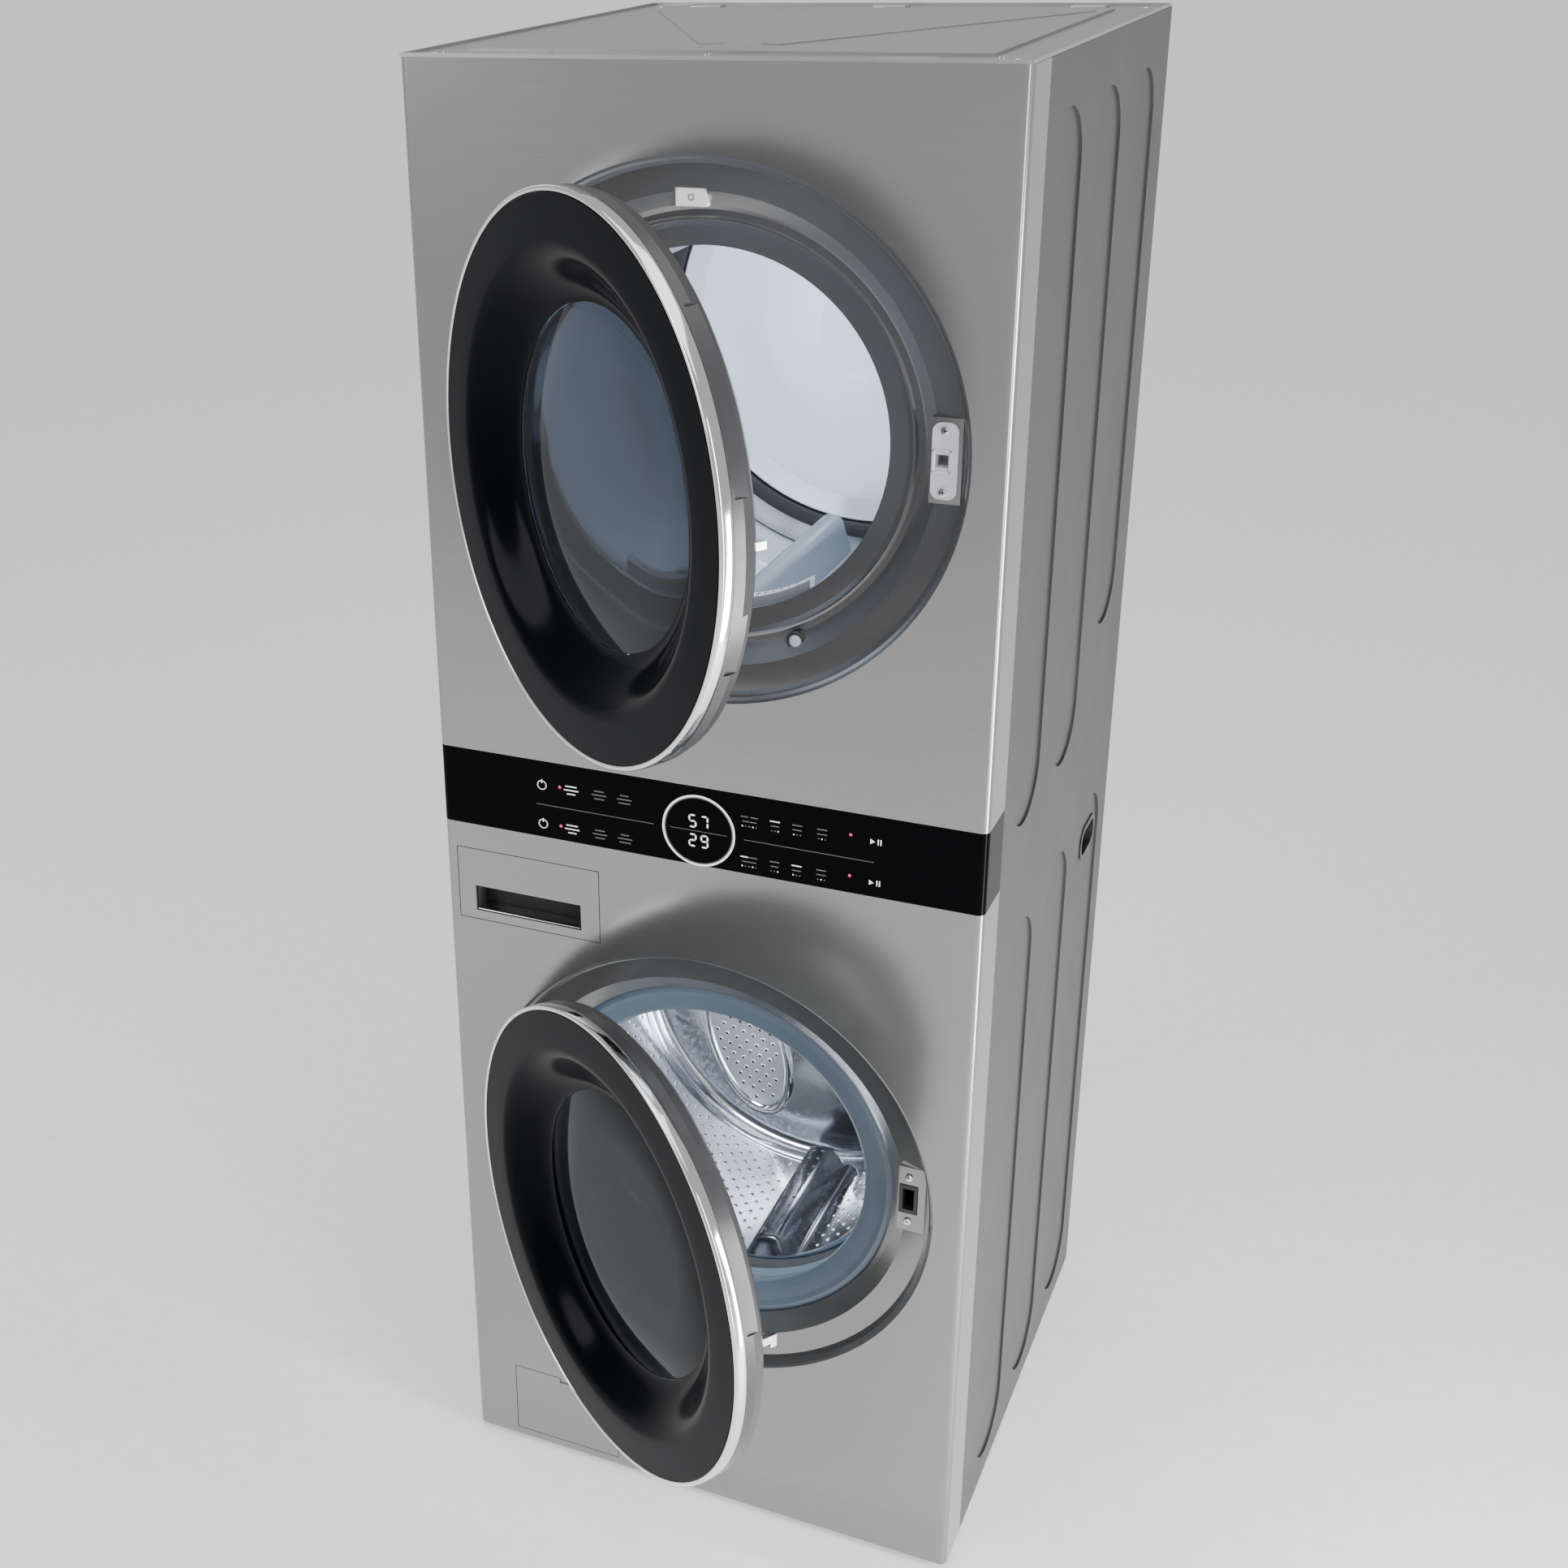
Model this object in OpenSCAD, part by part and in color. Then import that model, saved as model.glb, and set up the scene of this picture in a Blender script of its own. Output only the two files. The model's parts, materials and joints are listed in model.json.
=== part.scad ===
/* [Cabinet] */
// Width across the two side panels
body_w = 686; // [650:1:830]
// Depth from the front face to the back panel
body_d = 698; // [660:1:840]
// Height from the floor to the top of the top cover
body_h = 1889; // [1850:1:2270]
// Height of the front panel's lower edge above the floor
toe_gap = 13; // [12:1:20]
// Height of the seam between the washer cabinet and the dryer cabinet
seam_z = 944; // [940:1:1140]
// Thickness of the cabinet and panel sheet
sheet = 1; // [0.8:0.1:1.6]
// How far the front panels wrap round the sides
wrap_d = 70; // [55:1:90]
// Radius of the front panels' upright edges
edge_r = 9; // [5:1:14]
// Depth of the embossed panels in the sides
emboss_d = 3; // [1:0.5:5]
// Height of the underside of the base pan above the floor
base_z = 10; // [9:1:12]
// Height of the base pan's rim
base_h = 30; // [20:1:36]

/* [Control band] */
// Height of the black band between the two front panels
band_h = 100; // [80:1:110]
// Gap between the seam and the lower edge of the band
band_lift = 34; // [20:1:60]
// Radius of the round display
display_r = 44; // [30:1:46]

/* [Doors] */
// Radius of each round door
door_r = 297; // [270:1:300]
// How far the door glass stands in front of the panels
door_front = 38; // [36:1:44]
// Gap between the door and the edge of its recess
door_gap = 6; // [4:1:8]
// Distance of the hinge axis inside the door's left rim
hinge_in = 29; // [27:1:32]
// Distance of the hinge axis in front of the panels
hinge_out = 26; // [24:1:27]
// Opening of the dryer door as stored
dryer_ajar = 37; // [0:1:70]
// Opening of the washer door as stored
washer_ajar = 35; // [0:1:70]
// Height of the washer door's centre
washer_door_z = 544; // [520:1:545]
// Height of the dryer door's centre above the band
dryer_door_up = 412; // [400:1:460]
// Radius of the flat window in the middle of each door glass
window_r = 180; // [150:1:190]
// Thickness of the door glass
glass_t = 4; // [3:0.5:5]

/* [Washer] */
// Inner radius of the washer drum
wash_drum_r = 270; // [240:1:276]
// Thickness of both drums' sheet
drum_t = 1.2; // [1:0.1:2]
// Length of the washer drum
wash_drum_l = 350; // [290:1:430]
// Gap between the washer drum and the tub
tub_gap = 22; // [15:1:24]
// Wall thickness of the tub
tub_t = 4; // [3:0.5:5]
// Radius of the gasket's sealing lip
gasket_r = 202; // [199:1:205]
// Travel of the tub on its springs, up and down
tub_travel = 10; // [5:1:12]
// Radius of the drum shaft
shaft_r = 15; // [12:1:20]

/* [Dryer] */
// Outer radius of the dryer drum
dry_drum_r = 322; // [290:1:325]
// Length of the dryer drum
dry_drum_l = 536; // [440:1:560]
// Radius of the dryer's loading opening
dry_open_r = 204; // [190:1:206]
// Radius of each drum roller
roller_r = 30; // [22:1:34]
// Radius of the motor pulley that drives the belt
pulley_r = 20; // [12:1:26]
// Radius of the exhaust outlet
exhaust_r = 50.8; // [40:0.1:60]
// How far the exhaust outlet stands behind the back panel
exhaust_out = 36; // [30:1:60]

/* [Drawer and hatch] */
// Width of the detergent drawer
drawer_w = 194; // [160:1:200]
// Height of the detergent drawer
drawer_h = 98; // [80:1:98]
// Length of the detergent tray
tray_l = 290; // [220:1:340]
// Width of the drain hatch
hatch_w = 155; // [130:1:180]
// Height of the drain hatch
hatch_h = 109; // [90:1:115]

/* [Feet] */
// Radius of each levelling foot
foot_r = 22; // [16:1:26]
// Radius of each foot's threaded stem
stem_r = 6; // [4:0.5:8]
// Distance of each foot from the cabinet's edges
foot_inset = 52; // [44:1:70]

/* [Hidden] */
$fn = 96;

// Clearances
seam = 1;            // visible gap between neighbouring panels
slip = 2;            // gap round a part that slides or drops in
run = 0.05;          // radial clearance of a pin or shaft in its bore
touch_gap = 0.3;     // gap between rolling or sliding round faces
seat_gap = 0.5;      // gap behind a part fastened inside a drum

// Places worked out from the sizes above
half_w = body_w / 2;
in_w = half_w - sheet - emboss_d;
rear_reach = body_d + exhaust_out;
hinge_x = hinge_in - door_r;
door_reach = hinge_out + (2 * door_r - hinge_in) * sin(max(dryer_ajar, washer_ajar))
  + (door_front - hinge_out) * cos(max(dryer_ajar, washer_ajar));
front_y = (door_reach - rear_reach) / 2;
hinge_y = front_y - hinge_out;
band_z = seam_z + band_lift;
dryer_z = band_z + band_h + dryer_door_up;
recess_r = door_r + door_gap;
panel_top = body_h - 5;

// Solids placed by their distance behind the front face
module at(x, d, z) { translate([x, front_y + d, z]) children(); }
module facing(d, z, x = 0) { at(x, d, z) rotate([-90, 0, 0]) children(); }
module slab(x, d, z) {
  translate([x[0], front_y + d[0], z[0]]) cube([x[1] - x[0], d[1] - d[0], z[1] - z[0]]);
}
module pipe(r_out, r_in, h) {
  difference() {
    cylinder(r = r_out, h = h);
    translate([0, 0, -1]) cylinder(r = r_in, h = h + 2);
  }
}
module both_sides() {
  children();
  mirror([1, 0, 0]) children();
}
module stadium(w, h) {
  union() {
    for (s = [-1, 1]) translate([0, s * (h - w) / 2]) circle(d = w);
    square([w, h - w], center = true);
  }
}
module soft_rect(w, h, r) {
  union() {
    square([w - 2 * r, h], center = true);
    square([w, h - 2 * r], center = true);
    for (sx = [-1, 1], sy = [-1, 1]) translate([sx * (w / 2 - r), sy * (h / 2 - r)]) circle(r = r);
  }
}
function arc(r, a0, a1, n, c = [0, 0]) =
  [for (i = [0 : n]) let (a = a0 + (a1 - a0) * i / n) c + r * [cos(a), sin(a)]];
function flip(list) = [for (i = [len(list) - 1 : -1 : 0]) list[i]];
function shifted(list, v) = [for (p = list) p + v];

// ---- Base and cabinets ----
foot_spots = [for (sy = [0, 1], sx = [-1, 1])
  [sx * (half_w - foot_inset), sy == 0 ? foot_inset : body_d - foot_inset]];
pan_t = 1.5;
pan_x = half_w - sheet;
pan_d = [30, body_d - sheet];
boss_r = stem_r + 8;
brace_d = [210, 540];

module base_frame() {
  color([0.30, 0.31, 0.33]) difference() {
    union() {
      slab([-pan_x, pan_x], pan_d, [base_z, base_z + pan_t]);
      difference() {
        slab([-pan_x, pan_x], pan_d, [base_z, base_z + base_h]);
        slab([pan_t - pan_x, pan_x - pan_t], [pan_d[0] + pan_t, pan_d[1] - pan_t],
          [base_z - 1, base_z + base_h + 1]);
      }
      for (p = foot_spots) at(p[0], p[1], base_z) cylinder(r = boss_r, h = base_h);
      for (d = brace_d) slab([-pan_x, pan_x], [d, d + 20], [base_z, base_z + 12]);
    }
    both_sides() slab([half_w - flange_w - 1, half_w], [wrap_d - 3, wrap_d + 3],
      [base_z + pan_t, base_z + base_h + 1]);
    for (p = foot_spots) at(p[0], p[1], base_z - 1) cylinder(r = stem_r + run, h = base_h + 2);
  }
}

// Embossed upright panels: middle depth, width, lower end, upper end
washer_panels = [for (c = [200, 392, 588]) [c, 128, 46, seam_z - 74]];
dryer_panels = [[174, 126, seam_z + 73, panel_top - 57], [370, 128, seam_z + 68, panel_top - 57],
  [568, 118, seam_z + 189, panel_top - 58]];
handle_w = 78;
handle_h = 40;
handle_d = 592;
handle_z = seam_z - 138;
handle_deep = 24;
flange_w = 16;

module side_emboss(list, inset, grow) {
  both_sides() for (p = list) at(half_w - inset, p[0], (p[2] + p[3]) / 2) rotate([0, 90, 0])
    rotate([0, 0, 90]) linear_extrude(inset + 1) stadium(p[1] + grow, p[3] - p[2] + grow);
}
module cabinet_shell(z0, z1, panels, window) {
  difference() {
    union() {
      difference() {
        slab([-half_w, half_w], [wrap_d, body_d], [z0, z1]);
        slab([sheet - half_w, half_w - sheet], [wrap_d - 1, body_d - sheet], [z0 - 1, z1 + 1]);
      }
      both_sides() slab([half_w - flange_w, half_w - sheet / 2], [wrap_d, wrap_d + sheet],
        [z0, z1]);
      intersection() {
        side_emboss(panels, emboss_d + sheet, 2 * sheet);
        slab([-half_w, half_w], [wrap_d, body_d], [z0, z1]);
      }
    }
    side_emboss(panels, emboss_d, 0);
    slab([-window[0], window[0]], [body_d - 10, body_d + 10], [window[1], window[2]]);
  }
}
washer_window = [230, 150, 800];
dryer_window = [230, 1230, 1700];

module washer_cabinet() {
  color([0.36, 0.37, 0.38]) difference() {
    cabinet_shell(toe_gap, seam_z, washer_panels, washer_window);
    both_sides() at(half_w - 12, handle_d, handle_z) rotate([0, 90, 0]) rotate([0, 0, 90])
      linear_extrude(14) soft_rect(handle_w + seam, handle_h + seam, handle_h / 2);
    for (x = valve_x) facing(body_d - 10, valve_z, x) cylinder(r = valve_r + slip, h = 20);
    facing(body_d - 10, drain_z, drain_x) cylinder(r = drain_r + slip, h = 20);
  }
}
module dryer_cabinet() {
  color([0.36, 0.37, 0.38]) difference() {
    cabinet_shell(seam_z, panel_top, dryer_panels, dryer_window);
    facing(body_d - 10, exhaust_z, exhaust_x) cylinder(r = exhaust_r + slip, h = 20);
  }
}
module dryer_base_pan() {
  color([0.45, 0.46, 0.47]) union() {
    slab([-pan_x, pan_x], [wrap_d + 3, body_d - sheet], [seam_z + 2.8, seam_z + 4]);
    slab([flange_w + 2 - half_w, half_w - flange_w - 2], [30, wrap_d + 4], [seam_z + 2, seam_z + 4]);
    both_sides() slab([pan_x - 2, pan_x], [wrap_d + 3, body_d - sheet], [seam_z + 2, seam_z + 26]);
    slab([flange_w + 2 - half_w, half_w - flange_w - 2], [30, 32], [seam_z - 14, seam_z + 4]);
    for (p = spring_spots) slab([p[0] - 9, p[0] + 9], [p[1] - 9, p[1] + 9], [seam_z - 6, seam_z + 3]);
  }
}
module side_handles() {
  color([0.08, 0.08, 0.09]) both_sides() difference() {
    union() {
      at(half_w - emboss_d - sheet - handle_deep, handle_d, handle_z) rotate([0, 90, 0])
        rotate([0, 0, 90]) linear_extrude(handle_deep + sheet)
        soft_rect(handle_w, handle_h, handle_h / 2 - 1);
      at(half_w - emboss_d, handle_d, handle_z) rotate([0, 90, 0]) rotate([0, 0, 90])
        linear_extrude(2) soft_rect(handle_w + 10, handle_h + 10, handle_h / 2 + 4);
    }
    at(half_w - emboss_d - sheet - handle_deep + 2, handle_d, handle_z) rotate([0, 90, 0])
      rotate([0, 0, 90]) linear_extrude(handle_deep + 10)
      soft_rect(handle_w - 5, handle_h - 5, handle_h / 2 - 4);
  }
}
cover_t = 1;
rim_t = 5;
pad_x = half_w - 53;
pad_y = [60, body_d - 78];
module top_cover() {
  color([0.62, 0.63, 0.64]) difference() {
    union() {
      difference() {
        slab([seam - half_w, half_w - seam], [seam, body_d], [panel_top, body_h - cover_t]);
        slab([rim_t - half_w, half_w - rim_t], [rim_t, body_d - rim_t], [panel_top + cover_t, body_h]);
      }
      slab([-pad_x, pad_x], pad_y, [panel_top, body_h - cover_t]);
      for (s = [-1, 1]) at(s * 150, body_d / 2, body_h - 2 * cover_t) rotate([0, 0, s * 62])
        translate([-250, -14, 0]) cube([500, 28, 2 * cover_t]);
    }
    slab([cover_t - pad_x, pad_x - cover_t], [pad_y[0] + cover_t, pad_y[1] - cover_t],
      [panel_top - 1, body_h - 2 * cover_t]);
  }
}
module rear_covers() {
  color([0.55, 0.56, 0.57]) {
    for (w = [washer_window, dryer_window]) difference() {
      union() {
        slab([-w[0] - 12, w[0] + 12], [body_d, body_d + cover_t], [w[1] - 12, w[2] + 12]);
        slab([-w[0] + 20, w[0] - 20], [body_d, body_d + 9], [w[1] + 20, w[2] - 20]);
      }
      slab([-w[0] + 22, w[0] - 22], [body_d - 1, body_d + 9 - cover_t], [w[1] + 22, w[2] - 22]);
    }
    difference() {
      slab([150, 240], [body_d, body_d + 16], [seam_z + 150, seam_z + 215]);
      slab([152, 238], [body_d - 1, body_d + 14], [seam_z + 152, seam_z + 213]);
    }
  }
}

// ---- Front panels ----
module front_outline(inset, back) {
  w = half_w - inset;
  r = edge_r - inset;
  union() {
    translate([-w, front_y + inset + r]) square([2 * w, back - inset - r]);
    translate([r - w, front_y + inset]) square([2 * (w - r), back - inset]);
    both_sides() translate([w - r, front_y + inset + r]) circle(r = r);
  }
}
module front_shell(z0, z1, t) {
  union() {
    translate([0, 0, z0]) linear_extrude(z1 - z0) difference() {
      front_outline(0, wrap_d);
      front_outline(t, wrap_d + 5);
    }
    both_sides() slab([half_w - flange_w, half_w - t / 2], [wrap_d - t, wrap_d], [z0, z1]);
    for (z = [z0, z1 - t]) slab([edge_r - half_w, half_w - edge_r], [t / 2, 22], [z, z + t]);
  }
}
// Recess round a door: radius and depth of its front surface, from the rim inwards
shelf_d = 41;
lip_d = 8;
// Radius at a share of the way in from the recess rim to the dryer opening
function into(share) = recess_r - share * (recess_r - dry_open_r);
dish_outer = [[recess_r, 0], [recess_r - 3, 1.5], [recess_r - 6, 6], [recess_r - 7, 12],
  [into(0.11), 14.5], [into(0.4), 20], [into(0.555), 31], [into(0.615), 35.5]];
dish_dryer = concat(dish_outer, [[into(0.675), 36], [into(0.695), 34], [into(0.715), 34],
  [into(0.735), 37], [into(0.785), shelf_d - 2], [dry_open_r, shelf_d], [dry_open_r, shelf_d + lip_d]]);
gasket_out_r = into(0.635);
dish_washer = concat(dish_outer, [[gasket_out_r + 1, shelf_d - 3], [gasket_out_r + 1, shelf_d + lip_d]]);
module dish(zc, curve) {
  facing(0, zc) rotate_extrude($fn = 180) polygon(concat(curve, flip(shifted(curve, [sheet, sheet]))));
}
pad_d = 14;
pad_back = 36;
hinge_pad = [hinge_x - 24, hinge_x + 24];
module recess_pads(zc, latch_z) {
  intersection() {
    facing(0, zc) cylinder(r = recess_r - 8, h = 60);
    union() {
      slab(hinge_pad, [pad_d, pad_back], [zc - 42, zc + 42]);
      slab([latch_x - 13, latch_x + 21], [pad_d, pad_back], [latch_z - 46, latch_z + 46]);
    }
  }
}
latch_x = door_r - hinge_in;
lock_z = washer_door_z + 20;
latch_z = dryer_z + 1;
drawer_x = [-half_w + 17, -half_w + 17 + drawer_w];
drawer_z = [seam_z - 2 - drawer_h, seam_z - 2];
hatch_x = [-half_w + 63, -half_w + 63 + hatch_w];
hatch_z = [toe_gap + 12, toe_gap + 12 + hatch_h];
hatch_pin = [4, hatch_z[0] + 6];
pin_small = 2;

module washer_front_panel() {
  color([0.46, 0.46, 0.47]) difference() {
    union() {
      difference() {
        front_shell(toe_gap, band_z - seam, sheet);
        facing(-5, washer_door_z) cylinder(r = recess_r, h = 40, $fn = 180);
      }
      dish(washer_door_z, dish_washer);
      recess_pads(washer_door_z, lock_z);
      for (x = [hatch_x[0] - seam - 3, hatch_x[1] + seam])
        slab([x, x + 3], [sheet / 2, 10], [hatch_z[0] - seam, hatch_z[0] + 16]);
    }
    slab([drawer_x[0] - seam, drawer_x[1] + seam], [-5, 10], [drawer_z[0] - seam, drawer_z[1] + seam]);
    slab([hatch_x[0] - seam, hatch_x[1] + seam], [-5, 12], [hatch_z[0] - seam, hatch_z[1] + seam]);
    slab([latch_x - 12, latch_x + 12], [5, 60], [lock_z - 21, lock_z + 21]);
    at((hatch_x[0] + hatch_x[1]) / 2, hatch_pin[0], hatch_pin[1]) rotate([0, 90, 0])
      cylinder(r = pin_small + run, h = hatch_w + 20, center = true);
  }
}
lamp_x = -14;
lamp_z = dryer_z + 256;
lamp_w = 36;
lamp_h = 20;
module dryer_front_panel() {
  color([0.50, 0.50, 0.51]) difference() {
    union() {
      difference() {
        front_shell(band_z + band_h + seam, panel_top, sheet);
        facing(-5, dryer_z) cylinder(r = recess_r, h = 40, $fn = 180);
      }
      dish(dryer_z, dish_dryer);
      recess_pads(dryer_z, latch_z);
    }
    slab([latch_x - 9, latch_x + 9], [5, 60], [latch_z - 12, latch_z + 12]);
    slab([lamp_x - lamp_w / 2, lamp_x + lamp_w / 2], [5, 60], [lamp_z - lamp_h / 2, lamp_z + lamp_h / 2]);
  }
}
module drum_lamp_window() {
  color([0.85, 0.86, 0.88]) union() {
    slab([lamp_x - lamp_w / 2 + 0.5, lamp_x + lamp_w / 2 - 0.5], [22, 38],
      [lamp_z - lamp_h / 2 + 0.5, lamp_z + lamp_h / 2 - 0.5]);
    slab([lamp_x - 24, lamp_x + 24], [37.5, 41.5], [lamp_z - 14, lamp_z + 14]);
  }
}
module washer_door_lock() {
  color([0.06, 0.06, 0.07]) difference() {
    union() {
      slab([latch_x - 11.5, latch_x + 11.5], [pad_d - 1, pad_back], [lock_z - 20.5, lock_z + 20.5]);
      slab([latch_x - 20, latch_x + 20], [pad_back, pad_back + 20], [lock_z - 40, lock_z + 40]);
    }
    slab([latch_x - 7, latch_x + 7], [pad_d - 5, pad_back + 14], [lock_z - 15, lock_z + 15]);
  }
}
module dryer_latch_plate() {
  color([0.78, 0.78, 0.83]) difference() {
    union() {
      facing(pad_d - 2, latch_z, latch_x + 3) linear_extrude(2) soft_rect(28, 82, 10);
      slab([latch_x - 8.5, latch_x + 8.5], [pad_d - 1, pad_back + 10], [latch_z - 11.5, latch_z + 11.5]);
    }
    slab([latch_x - 7, latch_x + 7], [pad_d - 5, pad_back + 6], [latch_z - 7, latch_z + 7]);
  }
}
screw_r = 4;
module screw(x, d, z) { facing(d - 2, z, x) cylinder(r = screw_r, h = 2, $fn = 48); }
module case_screws() {
  color([0.85, 0.85, 0.86]) {
    for (s = [-1, 1]) screw(latch_x + 3, pad_d - 2, latch_z + s * 33);
    for (s = [-1, 1]) screw(latch_x, pad_d, lock_z + s * 32);
    for (zc = [washer_door_z, dryer_z], s = [-1, 1])
      screw(hinge_x - 8, pad_d - 4, zc + s * 33);
    for (x = [-half_w + 40, 0, half_w - 40]) at(x, 34, panel_top + 1.5) cylinder(r = screw_r, h = 2);
    for (w = [washer_window, dryer_window], sx = [-1, 1], sz = [1, 2])
      facing(body_d + cover_t, w[sz] + (sz == 1 ? 4 : -4), sx * (w[0] + 4)) cylinder(r = screw_r, h = 2);
  }
}

// ---- Control band ----
band_t = 3;
display_x = 0;
module control_panel() {
  color([0.03, 0.03, 0.035]) front_shell(band_z, band_z + band_h, band_t);
}
board_w = 560;
module control_board() {
  color([0.10, 0.32, 0.18]) union() {
    slab([-board_w / 2, board_w / 2], [13, 15], [band_z + 14, band_z + band_h - 14]);
    facing(band_t, band_z + band_h / 2, display_x) cylinder(r = display_r, h = 11);
    for (x = [-210, -150, -90, 100, 150, 210]) facing(band_t, band_z + band_h / 2, x)
      cylinder(r = 5, h = 11);
    slab([-180, -60], [15, 34], [band_z + 24, band_z + 70]);
  }
}

// ---- Hinge brackets: fixed goosenecks, the axis at their origin ----
eye_r = 8;
arm_t = 8;
arm_z = 24;
arm_reach = pad_d + hinge_out;
pin_r = 4;
goose_x = 20;
module gooseneck() {
  difference() {
    union() {
      cylinder(r = eye_r, h = arm_t);
      linear_extrude(arm_t) polygon([[-2, 7], [4, -5], [goose_x + 4, 7], [goose_x + 4, arm_reach - 2],
        [goose_x - 4, arm_reach - 2], [goose_x - 4, 13]]);
    }
    translate([0, 0, -1]) cylinder(r = pin_r + run, h = arm_t + 2);
  }
}
module hinge_brackets() {
  color([0.55, 0.56, 0.58]) for (zc = [washer_door_z, dryer_z]) translate([hinge_x, hinge_y, zc])
    union() {
      for (s = [-1, 1]) translate([0, 0, s * arm_z - arm_t / 2]) gooseneck();
      translate([-22, arm_reach - 4, -38]) cube([46, 4, 76]);
    }
}

// ---- Doors, modelled shut round their own centre and then swung open ----
module swung(angle) {
  translate([hinge_x, hinge_y, 0]) rotate([0, 0, -angle]) translate([-hinge_x, -hinge_y, 0])
    children();
}
module door_part(zc) { facing(-door_front, zc) children(); }
dip = 37;
dip_w = (door_r - window_r) * 22 / 39;
rim_w = 5.5;
function dip_curve(n) = [for (i = [0 : n])
  [window_r + dip_w * i / n, dip * (1 + cos(180 * i / n)) / 2]];
module door_glass(zc) {
  edge = door_r - rim_w - 0.3;
  front = concat([[0, dip]], dip_curve(12), [[edge, 0]]);
  back = concat([[edge, glass_t], [window_r + dip_w + 2, glass_t]],
    flip(shifted(dip_curve(12), [1.5, glass_t])), [[0, dip + glass_t]]);
  color([0.05, 0.05, 0.06]) door_part(zc) rotate_extrude($fn = 180) polygon(concat(front, back));
}
trim_d = 14;
module door_trim(zc) {
  r = door_r;
  color([0.80, 0.80, 0.82]) door_part(zc) rotate_extrude($fn = 180) polygon([[r - rim_w, -0.5],
    [r - 2, -0.5], [r - 0.6, 0.3], [r, 2], [r, trim_d], [r - rim_w, trim_d], [r - rim_w, 6],
    [r - rim_w - 6, 6], [r - rim_w - 6, glass_t], [r - rim_w, glass_t]]);
}
slot_z = 52;
lip_r = dry_open_r;
frame_t = 4;
rear_d = 66;
// Radius at a share of the way in from the door's edge to its lip
function inward(share) = door_r - share * (door_r - lip_r);
frame_outer = [[door_r - 1, trim_d], [door_r - 1, 26], [door_r - 5, 38], [inward(0.15), 45],
  [inward(0.45), 47], [inward(0.63), 60], [inward(0.72), rear_d - 1], [lip_r, rear_d]];
frame_inner = [[lip_r, rear_d - frame_t], [inward(0.74), rear_d - frame_t], [inward(0.66), 55],
  [inward(0.48), 42], [inward(0.17), 40], [inward(0.1), 34], [door_r - 6, 24], [door_r - 6, trim_d]];
// Angles between which the finger pockets run
grip = [11, 47];
upper_grip = [-24, -11];
module door_frame(zc, strike_z, grips) {
  color([0.25, 0.25, 0.26]) difference() {
    door_part(zc) rotate_extrude($fn = 180) polygon(concat(frame_outer, frame_inner));
    slab([-door_r - 5, hinge_x + 42], [trim_d + 1 - door_front, rear_d - door_front + 5],
      [zc - slot_z, zc + slot_z]);
    door_part(zc) for (g = grips) translate([0, 0, trim_d + 4]) linear_extrude(18)
      intersection() {
        difference() { circle(r = door_r + 2); circle(r = door_r - 3.5); }
        polygon([[0, 0], 400 * [cos(g[0]), -sin(g[0])], 400 * [cos(g[1]), -sin(g[1])]]);
      }
    slab([latch_x - 6, latch_x + 6], [0, 30], [strike_z - 10, strike_z + 10]);
  }
}
module dryer_door_window() {
  z0 = rear_d - 2 * frame_t;
  color([0.55, 0.60, 0.66]) swung(dryer_ajar) door_part(dryer_z) rotate_extrude($fn = 180)
    polygon([[lip_r + 10, z0], [lip_r + 10, z0 + frame_t], [lip_r - 4, z0 + frame_t],
      [lip_r - 12, z0 + 10], [lip_r - 44, z0 + 18], [lip_r - 104, z0 + 25], [0, z0 + 28],
      [0, z0 + 24], [lip_r - 104, z0 + 21], [lip_r - 46, z0 + 14], [lip_r - 14, z0 + 6],
      [lip_r - 16, z0]]);
}
bowl_d = 150;
bowl_r = 176;
bowl_t = 4.5;
bowl_slant = 16;
// Glass bowl: a deep cup whose upper part is cut back by a slanting face
module bowl_cup(inset) {
  intersection() {
    rotate_extrude($fn = 180) polygon(concat([[0, -1], [lip_r - 5 - inset, -1], [lip_r - 5 - inset,
      rear_d - frame_t], [gasket_r - 7 - inset, rear_d + 22]],
      arc(26 - inset, 15, 90, 6, [bowl_r - 26, bowl_d - 26]), [[0, bowl_d - inset]]));
    translate([0, bowl_r - 40, bowl_d - 8 - inset]) rotate([bowl_slant, 0, 0]) translate([-400, -500, -600])
      cube([800, 1000, 600]);
  }
}
module washer_door_bowl() {
  z0 = rear_d - 2 * frame_t;
  color([0.60, 0.70, 0.68]) swung(washer_ajar) door_part(washer_door_z) difference() {
    union() {
      translate([0, 0, z0]) cylinder(r = lip_r + 10, h = frame_t, $fn = 180);
      intersection() {
        bowl_cup(0);
        translate([0, 0, z0]) cylinder(r = 300, h = 300);
      }
    }
    bowl_cup(bowl_t);
  }
}
leaf_d = glass_t;
module hinge_leaf(zc) {
  difference() {
    union() {
      intersection() {
        door_part(zc) cylinder(r = door_r - rim_w - 6.5, h = 40);
        slab([hinge_x - 22, hinge_x + 18], [leaf_d - door_front, leaf_d + 3 - door_front],
          [zc - 78, zc + 78]);
      }
      translate([hinge_x, hinge_y, zc - arm_z + arm_t / 2 + 1]) cylinder(r = 7, h = 2 * arm_z - arm_t - 2);
      translate([hinge_x, hinge_y, zc - arm_z - arm_t]) cylinder(r = pin_r, h = 2 * (arm_z + arm_t));
    }
    for (s = [-1, 1]) slab([hinge_x - 10, hinge_x + 10], [-door_front, -hinge_out - pin_r],
      [zc + s * arm_z - arm_t / 2 - 1, zc + s * arm_z + arm_t / 2 + 1]);
  }
}
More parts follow.
